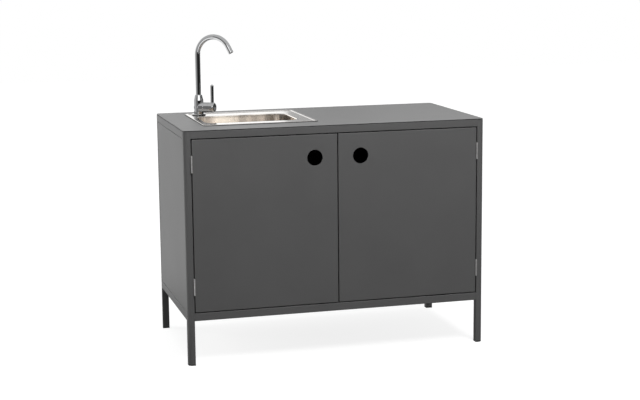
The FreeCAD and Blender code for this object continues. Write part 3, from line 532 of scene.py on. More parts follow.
def eased(name: str, node: str, width: float, slot: Slot) -> Piece:
    """Piece that copies a CAD node, with its sharp edges rounded.

    Args:
        name: Name of the piece.
        node: CAD node that it copies and stands for.
        width: Width of the rounding in metres.
        slot: Slot of its finish.

    Returns:
        The piece.
    """
    mesh = bmesh.new()
    mesh.from_mesh(frame["nodes"][node].data)
    bmesh.ops.remove_doubles(mesh, verts=mesh.verts, dist=MERGE_DISTANCE)
    bmesh.ops.dissolve_limit(mesh, angle_limit=FLAT_ANGLE, verts=mesh.verts, edges=mesh.edges)
    round_off(mesh, sharp_edges(mesh), width)
    return Piece(name, mesh, slot, node)


def solid_box(low: Vector, high: Vector) -> BMesh:
    """Box between two corners.

    Args:
        low: Lowest corner.
        high: Highest corner.

    Returns:
        The new mesh.
    """
    mesh = bmesh.new()
    size = high - low
    middle = Matrix.Translation((low + high) / 2)
    bmesh.ops.create_cube(mesh, size=1.0, matrix=middle @ Matrix.Diagonal((*size, 1.0)))
    return mesh


def runs_along(edge: BMEdge, axis: int) -> bool:
    """True where an edge runs along one axis."""
    way = (edge.verts[1].co - edge.verts[0].co).normalized()
    return abs(way[axis]) > ALIGNED


def of_kind(geometry: Iterable[BMVert | BMEdge | BMFace], kind: type) -> list:
    """Vertices, edges or faces out of an operator's result."""
    return [item for item in geometry if isinstance(item, kind)]


def outline(mesh: BMesh, low: Sequence[float], high: Sequence[float], radius: float, level: float,
            segments: int) -> list[BMEdge]:
    """Loop of edges round a rectangle with round corners, always with the same number of edges.

    Args:
        mesh: Mesh that gets the loop.
        low: Lowest x and y.
        high: Highest x and y.
        radius: Corner radius.
        level: Height.
        segments: Edges in each corner.

    Returns:
        The loop's edges.
    """
    middle = Vector(((low[0] + high[0]) / 2, (low[1] + high[1]) / 2, level))
    size = Matrix.Diagonal(((high[0] - low[0]) / 2, (high[1] - low[1]) / 2, 1.0, 1.0))
    corners = bmesh.ops.create_grid(mesh, x_segments=1, y_segments=1, size=1.0,
                                    matrix=Matrix.Translation(middle) @ size)["verts"]
    made = bmesh.ops.bevel(mesh, geom=corners, offset=radius, offset_type="OFFSET", affect="VERTICES",
                           segments=segments, profile=0.5, material=-1)
    verts = made["verts"]
    face = next(face for face in verts[0].link_faces if all(vert in face.verts for vert in verts))
    edges = list(face.edges)
    bmesh.ops.delete(mesh, geom=[face], context="FACES_ONLY")
    return edges


def ring(mesh: BMesh, radius: float, spot: Matrix, segments: int) -> list[BMEdge]:
    """Loop of edges round a circle.

    Args:
        mesh: Mesh that gets the loop.
        radius: Circle's radius.
        spot: Placing of the circle, which starts level about the origin.
        segments: Edges round it.

    Returns:
        The loop's edges.
    """
    made = bmesh.ops.create_circle(mesh, segments=segments, radius=radius, matrix=spot)
    return list({edge for vert in made["verts"] for edge in vert.link_edges})


def turned_shape(profile: Sequence[Pair], steps: int = 48) -> BMesh:
    """Round piece about the z axis.

    Args:
        profile: Radius and height of each corner, from the foot up.
        steps: Faces round the axis.

    Returns:
        The spun mesh.
    """
    mesh = bmesh.new()
    verts = [mesh.verts.new((radius, 0.0, height)) for radius, height in profile]
    edges = [mesh.edges.new(pair) for pair in zip(verts, verts[1:])]
    bmesh.ops.spin(mesh, geom=verts + edges, cent=(0, 0, 0), axis=(0, 0, 1), angle=FULL_TURN, steps=steps,
                   use_merge=True)
    bmesh.ops.remove_doubles(mesh, verts=mesh.verts, dist=SEAM_DISTANCE)
    bmesh.ops.recalc_face_normals(mesh, faces=mesh.faces)
    return mesh


def holed_plate(radius: float, low: float, high: float, rings: Rings, hole: float,
                rim_steps: int = 60, hole_steps: int = 16) -> BMesh:
    """Round plate about the z axis with rings of holes.

    Args:
        radius: Plate radius.
        low: Height of its underside.
        high: Height of its upper side.
        rings: Radius of each ring and its number of holes.
        hole: Radius of a hole.
        rim_steps: Edges round the plate.
        hole_steps: Edges round a hole.

    Returns:
        The closed plate.
    """
    plate = bmesh.new()
    edges = ring(plate, radius, Matrix.Translation((0, 0, low)), rim_steps)
    for spread, count in rings:
        for step in range(count):
            angle = FULL_TURN * step / count
            spot = Matrix.Translation((spread * math.cos(angle), spread * math.sin(angle), low))
            edges += ring(plate, hole, spot, hole_steps)
    sheet = bmesh.ops.triangle_fill(plate, use_beauty=True, edges=edges, normal=Vector((0, 0, -1)))
    raised = bmesh.ops.extrude_face_region(plate, geom=of_kind(sheet["geom"], BMFace), use_keep_orig=True)
    bmesh.ops.translate(plate, verts=of_kind(raised["geom"], BMVert), vec=(0, 0, high - low))
    bmesh.ops.recalc_face_normals(plate, faces=plate.faces)
    return plate


def curve(centre: Pair, radius: float, start: float, end: float, steps: int = 6) -> list[Pair]:
    """Corners of an arc in a profile.

    Args:
        centre: Centre as radius and height.
        radius: Arc radius.
        start: First angle in degrees, counted from outwards to upwards.
        end: Last angle in degrees.
        steps: Straight pieces.

    Returns:
        The corners, both ends among them.
    """
    angles = [math.radians(start + (end - start) * step / steps) for step in range(steps + 1)]
    return [(centre[0] + radius * math.cos(a), centre[1] + radius * math.sin(a)) for a in angles]


def shifted(corners: Iterable[Pair], radius: float, height: float) -> list[Pair]:
    """Corners of a profile, moved outwards by a radius and up by a height."""
    return [(radius + reach, height + rise) for reach, rise in corners]


def moved(mesh: BMesh, matrix: Matrix) -> BMesh:
    """Mesh moved and turned as a whole."""
    bmesh.ops.transform(mesh, matrix=matrix, verts=mesh.verts)
    return mesh


def in_millimetres(centre: Sequence[float], lift: float = 0.0, turn: float = 0.0) -> Matrix:
    """Placing of a mesh in millimetres: turned about an upright axis, raised and set at its place.

    Args:
        centre: Plan position of the axis in metres.
        lift: Height in millimetres.
        turn: Angle about the axis in degrees.

    Returns:
        The matrix.
    """
    spot = Matrix.Translation((*centre, lift * MM))
    return spot @ Matrix.Rotation(math.radians(turn), 4, "Z") @ Matrix.Scale(MM, 4)


def gathered(meshes: Iterable[BMesh]) -> BMesh:
    """One mesh from several, which are freed.

    Args:
        meshes: Meshes to join.

    Returns:
        The new mesh.
    """
    whole = bmesh.new()
    for mesh in meshes:
        part = mesh_data("part", mesh)
        whole.from_mesh(part)
        bpy.data.meshes.remove(part)
    return whole


@dataclass
class Assembly:
    """Group of pieces that belongs together."""

    def pieces(self) -> list[Piece]:
        """Pieces of the group; each group has its own."""
        raise NotImplementedError

    def build(self) -> None:
        """Make every piece and put it on its body."""
        for piece in self.pieces():
            piece.place()


@dataclass
class Top(Assembly):
    """Thin worktop on its foam tape."""

    edge_round: float = 0.9 * MM
    tape_round: float = 0.4 * MM

    def pieces(self) -> list[Piece]:
        """Worktop sheet and the tape under it."""
        return [eased("worktop_sheet", "worktop", self.edge_round, Slot.COAT),
                eased("worktop_tape_strip", "worktop_tape", self.tape_round, Slot.RUBBER)]


@dataclass
class Frame(Assembly):
    """Square tube frame: four legs with one large round each, rails, brace and foot caps."""

    post_round: float = 15 * MM
    post_steps: int = 12
    small_round: float = 1.2 * MM
    small_steps: int = 3
    rail_round: float = 1.6 * MM
    brace_round: float = 2.0 * MM
    bar_steps: int = 4
    cap_round: float = 0.8 * MM

    @staticmethod
    def outermost(edges: Iterable[BMEdge]) -> BMEdge:
        """Upright edge that is farthest from the middle of the cabinet."""
        return max(edges, key=lambda edge: edge.verts[0].co.to_2d().length)

    def post(self, node: str) -> Piece:
        """Leg with its large round on the outside corner.

        Args:
            node: CAD node of the leg.

        Returns:
            The leg's piece.
        """
        mesh = solid_box(*node_box(node))
        upright = [edge for edge in mesh.edges if runs_along(edge, 2)]
        others = [edge for edge in upright if edge is not self.outermost(upright)]
        round_off(mesh, others, self.small_round, self.small_steps)
        outside = self.outermost(edge for edge in mesh.edges if runs_along(edge, 2))
        round_off(mesh, [outside], self.post_round, self.post_steps)
        return Piece(f"{node}_tube", mesh, Slot.COAT, node)

    def bar(self, node: str, radius: float) -> Piece:
        """Tube seen from outside: a box whose long edges are rounded.

        Args:
            node: CAD node of the tube.
            radius: Radius of its long edges.

        Returns:
            The tube's piece.
        """
        low, high = node_box(node)
        mesh = solid_box(low, high)
        along = max(range(3), key=lambda axis: high[axis] - low[axis])
        round_off(mesh, [edge for edge in mesh.edges if runs_along(edge, along)], radius, self.bar_steps)
        return Piece(f"{node}_tube", mesh, Slot.COAT, node)

    def pieces(self) -> list[Piece]:
        """Legs, rails, brace and foot caps.

        Returns:
            The pieces of the frame.
        """
        posts = [self.post(f"post_{end}_{side}") for end in ("front", "rear") for side in ("left", "right")]
        rails = [self.bar(f"rail_{level}_{side}", self.rail_round) for level in ("top", "bottom")
                 for side in ("front", "rear", "left", "right")]
        return [*posts, *rails, self.bar("worktop_brace", self.brace_round),
                eased("foot_cap_set", "foot_caps", self.cap_round, Slot.PLASTIC)]


@dataclass
class SheetPan:
    """Folded sheet: a skin with its edges turned in, and lips where it has them."""

    node: str
    skin: Point
    sheet: float = 1.2 * MM
    bend: float = 2.2 * MM
    bend_steps: int = 4
    lip: float = 0.0
    hole: Point | None = None
    hole_steps: int = 64

    def mesh(self) -> BMesh:
        """Outer faces of the pan, which a wall then thickens inwards.

        Returns:
            The open shell.
        """
        shell = solid_box(*node_box(self.node))
        skin = Vector(self.skin)
        back = next(face for face in shell.faces if face.normal.dot(skin) < -FACING)
        if self.lip:
            bmesh.ops.inset_individual(shell, faces=[back], thickness=self.lip, use_even_offset=True)
        bmesh.ops.delete(shell, geom=[back], context="FACES_ONLY")
        round_off(shell, sharp_edges(shell), self.bend, self.bend_steps)
        if self.hole:
            self.punch(shell, skin)
        return shell

    def punch(self, shell: BMesh, skin: Vector) -> None:
        """Round hole through the skin.

        Args:
            shell: Pan that gets the hole.
            skin: Direction that the skin faces.
        """
        face = max((face for face in shell.faces if face.normal.dot(skin) > FACING), key=BMFace.calc_area)
        x, z, radius = self.hole
        place = Matrix.Translation((x, face.calc_center_median().y, z))
        edges = list(face.edges)
        bmesh.ops.delete(shell, geom=[face], context="FACES_ONLY")
        edges += ring(shell, radius, place @ Matrix.Rotation(QUARTER_TURN, 4, "X"), self.hole_steps)
        made = bmesh.ops.triangle_fill(shell, use_beauty=True, edges=edges, normal=skin)
        for item in of_kind(made["geom"], BMFace):
            if item.normal.dot(skin) < 0:
                item.normal_flip()

    def piece(self) -> Piece:
        """Piece of the pan."""
        return Piece(f"{self.node}_sheet", self.mesh(), Slot.COAT, self.node, sheet_thickness=self.sheet)


@dataclass
class Panels(Assembly):
    """Side, back and floor panels."""

    hose_hole: float = 35 * MM
    hose_place: Pair = (-285 * MM, 605 * MM)
    floor_round: float = 0.5 * MM

    def pieces(self) -> list[Piece]:
        """Folded side and back panels, and the flat floor.

        Returns:
            The pieces of the panels.
        """
        return [SheetPan("side_panel_left", (-1.0, 0.0, 0.0)).piece(),
                SheetPan("side_panel_right", (1.0, 0.0, 0.0)).piece(),
                SheetPan("back_panel", (0.0, 1.0, 0.0), hole=(*self.hose_place, self.hose_hole)).piece(),
                eased("floor_sheet", "floor_panel", self.floor_round, Slot.COAT)]


@dataclass
class Doors(Assembly):
    """Two folded doors with punched finger holes, and the strike plates of the catch."""

    finger_radius: float = 30.5 * MM
    finger_side: float = 90.7 * MM
    finger_height: float = 777.3 * MM
    lip: float = 15 * MM
    strike_round: float = 0.5 * MM

    def pieces(self) -> list[Piece]:
        """Both doors with their strikes.

        Returns:
            The pieces of the doors.
        """
        made = []
        for name, side in (("left", -1), ("right", 1)):
            hole = (side * self.finger_side, self.finger_height, self.finger_radius)
            made.append(SheetPan(f"door_{name}", (0.0, -1.0, 0.0), lip=self.lip, hole=hole).piece())
            strike = f"strike_plate_{name}"
            made.append(eased(f"{strike}_tab", strike, self.strike_round, Slot.ZINC))
        return made


@dataclass
class Hinges(Assembly):
    """Butt hinges in the gaps beside the doors."""

    leaf_round: float = 0.25 * MM
    screw_round: float = 0.2 * MM

    def pieces(self) -> list[Piece]:
        """Leaves, pins and screws.

        Returns:
            The pieces of the hinges.
        """
        made = []
        for side in ("left", "right"):
            for level, kind in (("top", "frame"), ("top", "door"), ("bottom", "frame"), ("bottom", "door")):
                node = f"hinge_{kind}_leaf_{level}_{side}"
                made.append(eased(f"{node}_plate", node, self.leaf_round, Slot.ZINC))
            node = f"hinge_screws_door_{side}"
            made.append(eased(f"{node}_set", node, self.screw_round, Slot.ZINC))
        return [*made, eased("hinge_screws_frame_set", "hinge_screws_frame", self.screw_round, Slot.ZINC),
                eased("hinge_pin_set", "hinge_pins", self.screw_round, Slot.ZINC)]


@dataclass
class Catch(Assembly):
    """Magnetic catch behind the top rail."""

    case_round: float = 1.2 * MM

    def pieces(self) -> list[Piece]:
        """Moulded case of the catch."""
        return [eased("catch_case", "magnetic_catch", self.case_round, Slot.PLASTIC)]


@dataclass
class Basin(Assembly):
    """Pressed sink: raised rim, flat ledges, drawn bowl, with its gasket and clips.

    A corner of the rim's slope is a way inwards from the rim's width in millimetres and a share of
    the fall to the ledge. A corner of the gasket's bead is a way inwards and a height over the foot,
    both in millimetres.
    """

    corner: float = 12 * MM
    inner_corner: float = 5 * MM
    ledge: float = 902 * MM
    crown: float = 903.8 * MM
    foot: float = 900.8 * MM
    edge_round: float = 1.6 * MM
    edge_steps: int = 5
    rim_width: float = 12 * MM
    slope: Corners = ((-2.6, 0.04), (-1.6, 0.18), (-0.8, 0.5), (0.0, 0.82), (1.0, 1.0))
    sheet: float = 1.1 * MM
    centre: Pair = BOWL_CENTRE
    bowl_width: float = 362 * MM
    bowl_depth: float = 240 * MM
    bowl_corner: float = 45 * MM
    lip_round: float = 3 * MM
    lip_steps: int = 3
    draw: float = 8 * MM
    bowl_floor: float = 762 * MM
    floor_round: float = 19 * MM
    floor_steps: int = 6
    drain_hole: float = 45 * MM
    drain_steps: int = 64
    tap_hole: float = 17.5 * MM
    tap_steps: int = 48
    corner_steps: int = 10
    smooth_angle: float = 50.0
    clip_round: float = 0.4 * MM
    # The bead stands out past the rim and up to 1.4 mm over the foot. Its black is real rubber and also
    # paints the shade under the rim's edge as a dark line.
    bead: Corners = ((11.0, -0.72), (-1.2, -0.79), (-1.8, -0.45), (-1.8, 0.3), (-1.4, 0.95),
                     (-0.6, 1.4), (0.05, 1.35), (0.05, 0.06), (11.0, -0.04))

    def rim_profile(self) -> list[Pair]:
        """Section of the rim.

        Returns:
            Way inwards from the outer edge and height of each loop.
        """
        edge, fall = self.edge_round, self.crown - self.ledge
        roll = curve((edge, self.crown - edge), edge, 180, 90, self.edge_steps)
        slope = [(self.rim_width + reach * MM, self.crown - share * fall) for reach, share in self.slope]
        return [(0.0, self.foot), *roll, *slope]

    def bowl_profile(self) -> list[Pair]:
        """Section of the bowl, from the lip to the floor.

        Returns:
            Way inwards from the bowl's edge and height of each loop.
        """
        lip = curve((-self.lip_round, self.ledge - self.lip_round), self.lip_round, 90, 0, self.lip_steps)
        wall_end = self.bowl_floor + self.floor_round
        lean = self.draw * (self.ledge - wall_end) / (self.ledge - self.bowl_floor)
        middle = (lean / 2, (self.ledge + wall_end) / 2)
        turn = curve((lean + self.floor_round, wall_end), self.floor_round, 180, 270, self.floor_steps)
        return [*lip, middle, *turn]

    def loop(self, mesh: BMesh, inset: float, level: float, around_bowl: bool) -> list[BMEdge]:
        """One loop of the rim or of the bowl.

        Args:
            mesh: Mesh that gets the loop.
            inset: Distance inwards from the rim's or the bowl's edge.
            level: Height of the loop.
            around_bowl: True for the bowl.

        Returns:
            The loop's edges.
        """
        if around_bowl:
            half = (self.bowl_width / 2 - inset, self.bowl_depth / 2 - inset)
            low, high = ([mid + side * reach for mid, reach in zip(self.centre, half)] for side in (-1, 1))
            radius = self.bowl_corner - inset
        else:
            low, high = (corner.to_2d() for corner in node_box("sink"))
            low, high = low + Vector((inset, inset)), high - Vector((inset, inset))
            radius = self.corner - inset
        return outline(mesh, low, high, max(radius, self.inner_corner), level, self.corner_steps)

    def pressing(self) -> BMesh:
        """Whole pressed sheet, seen from above.

        Returns:
            The open sheet.
        """
        mesh = bmesh.new()
        rim = [self.loop(mesh, inset, level, False) for inset, level in self.rim_profile()]
        bowl = [self.loop(mesh, inset, level, True) for inset, level in self.bowl_profile()]
        for loops in (rim, bowl):
            for outer, inner in zip(loops, loops[1:]):
                for face in bmesh.ops.bridge_loops(mesh, edges=outer + inner)["faces"]:
                    face.material_index = LINING if loops is bowl else 0
        tap = Matrix.Translation((*axis_of("tap_base_ring"), self.ledge))
        drain = Matrix.Translation((*self.centre, self.bowl_floor))
        around_tap = ring(mesh, self.tap_hole, tap, self.tap_steps)
        around_drain = ring(mesh, self.drain_hole, drain, self.drain_steps)
        up = Vector((0, 0, 1))
        bmesh.ops.triangle_fill(mesh, use_beauty=True, edges=rim[-1] + bowl[0] + around_tap, normal=up)
        base = bmesh.ops.triangle_fill(mesh, use_beauty=True, edges=bowl[-1] + around_drain, normal=up)
        for face in of_kind(base["geom"], BMFace):
            face.material_index = LINING
        bmesh.ops.recalc_face_normals(mesh, faces=mesh.faces)
        flat = max(mesh.faces, key=lambda face: abs(face.normal.z) * face.calc_area())
        if flat.normal.z < 0:
            bmesh.ops.reverse_faces(mesh, faces=mesh.faces)
        return mesh

    def sealing(self) -> BMesh:
        """Rubber strip under the rim, squeezed out into a thin bead, made tall enough that its black also
        paints the dark line of shade along the rim's foot.

        Returns:
            The closed strip.
        """
        mesh = bmesh.new()
        loops = [self.loop(mesh, inset * MM, self.foot + rise * MM, False) for inset, rise in self.bead]
        for outer, inner in zip(loops, [*loops[1:], loops[0]]):
            bmesh.ops.bridge_loops(mesh, edges=outer + inner)
        bmesh.ops.recalc_face_normals(mesh, faces=mesh.faces)
        return mesh

    def pieces(self) -> list[Piece]:
        """Sink, gasket and clips.

        Returns:
            The pieces of the sink.
        """
        return [Piece("sink_pressing", self.pressing(), Slot.STEEL, "sink", lining=BOWL_STEEL_PAINTED_REFLECTIONS,
                      backing=UNDER_STEEL, smooth_angle=self.smooth_angle, sheet_thickness=self.sheet),
                Piece("sink_gasket_strip", self.sealing(), Slot.RUBBER, "sink_gasket"),
                eased("sink_clip_set", "sink_clips", self.clip_round, Slot.STEEL)]


@dataclass
class HandNut:
    """Hand nut about the z axis, in millimetres, with grip ribs round it."""

    outer: float
    bore: float
    foot: float
    top: float
    ribs: int
    rib_height: float = 1.2
    rib_edge: float = 0.35
    rib_taper: float = 0.3
    rib_rise: float = 0.95
    edge_break: float = 0.8
    rim: float = 1.6
    rim_part: float = 6.0

    def mesh(self) -> BMesh:
        """Turned nut with its ribs drawn out of every second side.

        Returns:
            The nut's mesh.
        """
        low, high, edge = self.foot, self.top, self.edge_break
        root = self.outer - self.rib_height
        rim = min(self.rim, (high - low) / self.rim_part) + edge
        mesh = turned_shape([
            (self.bore, low), (root - edge, low), (root, low + edge), (root, low + rim), (root, high - rim),
            (root, high - edge), (root - edge, high), (self.bore, high), (self.bore, low)], self.ribs * 2)
        tall = high - low - 2 * rim
        middle = BMFace.calc_center_median
        sides = [face for face in mesh.faces if abs(face.normal.z) < 1 - FACING
                 and max(side.calc_length() for side in face.edges) > tall * ALIGNED
                 and middle(face).to_2d().length > root * FACING]
        sides.sort(key=lambda face: math.atan2(middle(face).y, middle(face).x))
        bmesh.ops.inset_individual(mesh, faces=sides[::2], thickness=self.rib_edge, depth=0.0)
        bmesh.ops.inset_individual(mesh, faces=sides[::2], thickness=self.rib_taper,
                                   depth=self.rib_height * self.rib_rise)
        return mesh


@dataclass
class Strainer(Assembly):
    """Drain body with its basket, gasket and nut, in millimetres about the drain's axis.

    A table of pairs holds corners of a section: each is a way outwards and a way up. The dish runs
    from the flange into the cup; rolls, heel and well are corners of the basket's rim and foot.
    """

    centre: Pair = BOWL_CENTRE
    flange_radius: float = 56.0
    flange_round: float = 1.5
    flange_edge: float = 0.5
    cup_outer: float = 44.0
    cup_inner: float = 42.0
    cup_round: float = 3.0
    step_inner: float = 40.0
    stub_outer: float = 24.0
    stub_inner: float = 20.3
    stub_break: float = 1.0
    flange_top: float = 764.0
    dish: Corners = ((3.2, -0.2), (1.2, -0.9), (0.0, -2.6))
    floor: float = 762.0
    step: float = 745.0
    base: float = 707.0
    base_sheet: float = 2.0
    stub_end: float = 673.0
    basket_rim: float = 41.5
    basket_outer: float = 38.0
    basket_sheet: float = 1.0
    basket_floor: float = 717.0
    basket_corner: float = 2.0
    outer_roll: Corners = ((0.0, 0.0), (0.0, 0.6), (-0.4, 1.0))
    inner_roll: Corners = ((0.8, 1.0), (0.0, 0.2))
    heel: Corners = ((-1.2, 0.2), (0.0, 2.0))
    well: Corners = ((0.0, 1.5), (-0.6, 0.3), (-2.0, 0.0))
    hole_radius: float = 2.5
    hole_rings: Rings = ((24.0, 12), (13.0, 6))
    post_radius: float = 3.0
    post_foot: Corners = ((2.0, 1.0), (0.0, 2.5))
    seat: float = 0.2
    knob_radius: float = 9.0
    knob_round: float = 2.0
    knob_foot: float = 749.0
    knob_rise: float = 1.0
    knob_bevel: Corners = ((-2.0, 0.0), (0.0, 1.5))
    knob_top: float = 755.0
    knob_dent: Corners = ((2.0, -0.6), (0.0, -0.8))
    nut: HandNut = field(default_factory=lambda: HandNut(
        outer=57.0, bore=44.3, foot=745.8, top=757.8, ribs=44))
    gasket_round: float = 0.5 * MM
    body_steps: int = 72
    basket_steps: int = 60
    knob_steps: int = 40

    def body(self) -> BMesh:
        """Drain body: domed flange, stepped cup and stub.

        Returns:
            The turned mesh.
        """
        out, low, top, fillet = self.flange_radius, self.floor, self.flange_top, self.cup_round
        cup, step, base, inside = self.cup_inner, self.step_inner, self.base, self.base + self.base_sheet
        return turned_shape([
            (out, low), (out, low + self.flange_edge),
            *curve((out - self.flange_round, low + self.flange_edge), self.flange_round, 0, 90, steps=4),
            *shifted(self.dish, cup, top), (cup, self.step), (step, self.step), (step, inside + fillet),
            *curve((step - fillet, inside + fillet), fillet, 0, -90, steps=4),
            (self.stub_inner + self.stub_break, inside), (self.stub_inner, inside - self.stub_break),
            (self.stub_inner, self.stub_end), (self.stub_outer, self.stub_end), (self.stub_outer, base),
            (self.cup_outer - fillet, base), (self.cup_outer, base + fillet), (self.cup_outer, low),
            (out, low)], self.body_steps)

    def basket(self) -> BMesh:
        """Lift-out basket: rim, cup, perforated floor, post and knob.

        Returns:
            The gathered mesh.
        """
        out, rim, step = self.basket_outer, self.basket_rim, self.step
        inner = out - self.basket_sheet
        low, high, turn = self.basket_floor, self.basket_floor + self.basket_sheet, self.basket_corner
        post, knob, foot, top = self.post_radius, self.knob_radius, self.knob_foot, self.knob_top
        over = top - self.knob_round
        shell = turned_shape([
            (inner - turn, low), *shifted(self.heel, out, low), (out, step),
            *shifted(self.outer_roll, rim, step), *shifted(self.inner_roll, inner, step),
            *shifted(self.well, inner, high), (inner - turn, low)], self.basket_steps)
        plate = holed_plate(inner - turn, low, high, self.hole_rings, self.hole_radius)
        wide = post + self.post_foot[0][0]
        handle = turned_shape([
            (0, low + self.seat), (wide, low + self.seat), *shifted(self.post_foot, post, high),
            (post, foot - self.knob_rise), *shifted(self.knob_bevel, knob, foot), (knob, over),
            *curve((knob - self.knob_round, over), self.knob_round, 0, 90, steps=4),
            *shifted(self.knob_dent, 0, top)], self.knob_steps)
        return gathered([shell, plate, handle])

    def pieces(self) -> list[Piece]:
        """Drain body, basket, gasket and nut.

        Returns:
            The pieces of the strainer.
        """
        spot = in_millimetres(self.centre)
        return [Piece("drain_body_cup", moved(self.body(), spot), Slot.STEEL, "drain_body"),
                Piece("strainer_basket_cup", moved(self.basket(), spot), Slot.STEEL, "strainer_basket"),
                eased("drain_gasket_ring", "drain_gasket", self.gasket_round, Slot.RUBBER),
                Piece("drain_nut_ring", moved(self.nut.mesh(), spot), Slot.PLASTIC, "drain_nut")]


@dataclass
class Trap(Assembly):
    """Bottle trap with its pipes and hand nuts, in millimetres about the drain's axis."""

    bottle_radius: float = 34.0
    bottle_wall: float = 32.6
    bottle_foot: float = 543.0
    bottle_top: float = 643.0
    bottle_neck: float = 22.0
    bottle_round: float = 5.0
    bottle_steps: int = 64
    foot_radius: float = 12.0
    foot_rise: float = 1.2
    neck_radius: float = 24.0
    neck_bore: float = 20.3
    neck_floor: float = 640.0
    edge_break: float = 0.8
    cup_foot: float = 549.0
    cup_bore: float = 29.6
    cup_top: float = 574.0
    cup_seam: Corners = ((0.0, 1.0), (-0.8, 1.4), (-0.8, 2.4), (0.0, 2.8))
    cup_ribs: int = 30
    cup_rib_height: float = 1.3
    port_z: float = 605.0
    port_reach: float = 58.0
    port_root: Corners = ((2.0, -12.0), (2.0, 1.0), (0.0, 3.0))
    port_floor: float = 24.6
    nut_radius: float = 29.0
    nut_bore: float = 24.3
    nut_height: float = 20.0
    nut_feet: Pair = (673.0, 645.0)
    nut_ribs: int = 24
    pipe_round: float = 0.5 * MM

    def at_drain(self, lift: float = 0.0) -> Matrix:
        """Placing of a mesh about the drain's axis, at a height."""
        return in_millimetres(axis_of("trap_inlet_pipe"), lift)

    def towards_back(self) -> Matrix:
        """Turns a shape about the z axis into one that lies along the outlet."""
        return self.at_drain(self.port_z) @ Matrix.Rotation(-QUARTER_TURN, 4, "X")

    def bottle(self) -> BMesh:
        """Bottle with its screwed cup, its neck and the port towards the back.

        Returns:
            The gathered mesh.
        """
        out, wall, foot, top = self.bottle_radius, self.bottle_wall, self.bottle_foot, self.bottle_top
        neck, bore, edge, turn = self.neck_radius, self.neck_bore, self.edge_break, self.bottle_round
        cup, end, reach, rise = self.cup_top, top + self.bottle_neck, self.port_reach, self.foot_rise
        body = turned_shape([
            (0, foot + rise), (self.foot_radius, foot + rise), (self.foot_radius + rise, foot),
            (wall - turn, foot), *curve((wall - turn, foot + turn), turn, -90, 0),
            *shifted(self.cup_seam, wall, cup), (wall, top - turn),
            *curve((wall - turn, top - turn), turn, 0, 90), (neck + rise, top), (neck, top + rise),
            (neck, end - edge), (neck - edge, end), (bore, end), (bore, self.neck_floor),
            (0, self.neck_floor)], self.bottle_steps)
        grip = HandNut(out, self.cup_bore, self.cup_foot, cup, self.cup_ribs, self.cup_rib_height).mesh()
        root = shifted(self.port_root, neck, wall)
        port = turned_shape([(0, root[0][1]), *root, (neck, reach - edge), (neck - edge, reach),
                             (bore, reach), (bore, self.port_floor), (0, self.port_floor)])
        return gathered([moved(body, self.at_drain()), moved(grip, self.at_drain()),
                         moved(port, self.towards_back())])

    def nuts(self) -> BMesh:
        """Two upright slip nuts and one on the outlet.

        Returns:
            The gathered mesh.
        """
        made = []
        for foot, spot in (*((foot, self.at_drain()) for foot in self.nut_feet),
                           (self.port_reach - self.nut_height, self.towards_back())):
            nut = HandNut(self.nut_radius, self.nut_bore, foot, foot + self.nut_height, self.nut_ribs)
            made.append(moved(nut.mesh(), spot))
        return gathered(made)

    def pieces(self) -> list[Piece]:
        """Inlet pipe, bottle, outlet pipe and slip nuts.

        Returns:
            The pieces of the trap.
        """
        return [Piece("trap_bottle_moulding", self.bottle(), Slot.PLASTIC, "trap_bottle"),
                Piece("trap_slip_nut_set", self.nuts(), Slot.PLASTIC, "trap_slip_nuts"),
                eased("trap_inlet_pipe_tube", "trap_inlet_pipe", self.pipe_round, Slot.PLASTIC),
                eased("trap_outlet_pipe_tube", "trap_outlet_pipe", self.pipe_round, Slot.PLASTIC)]


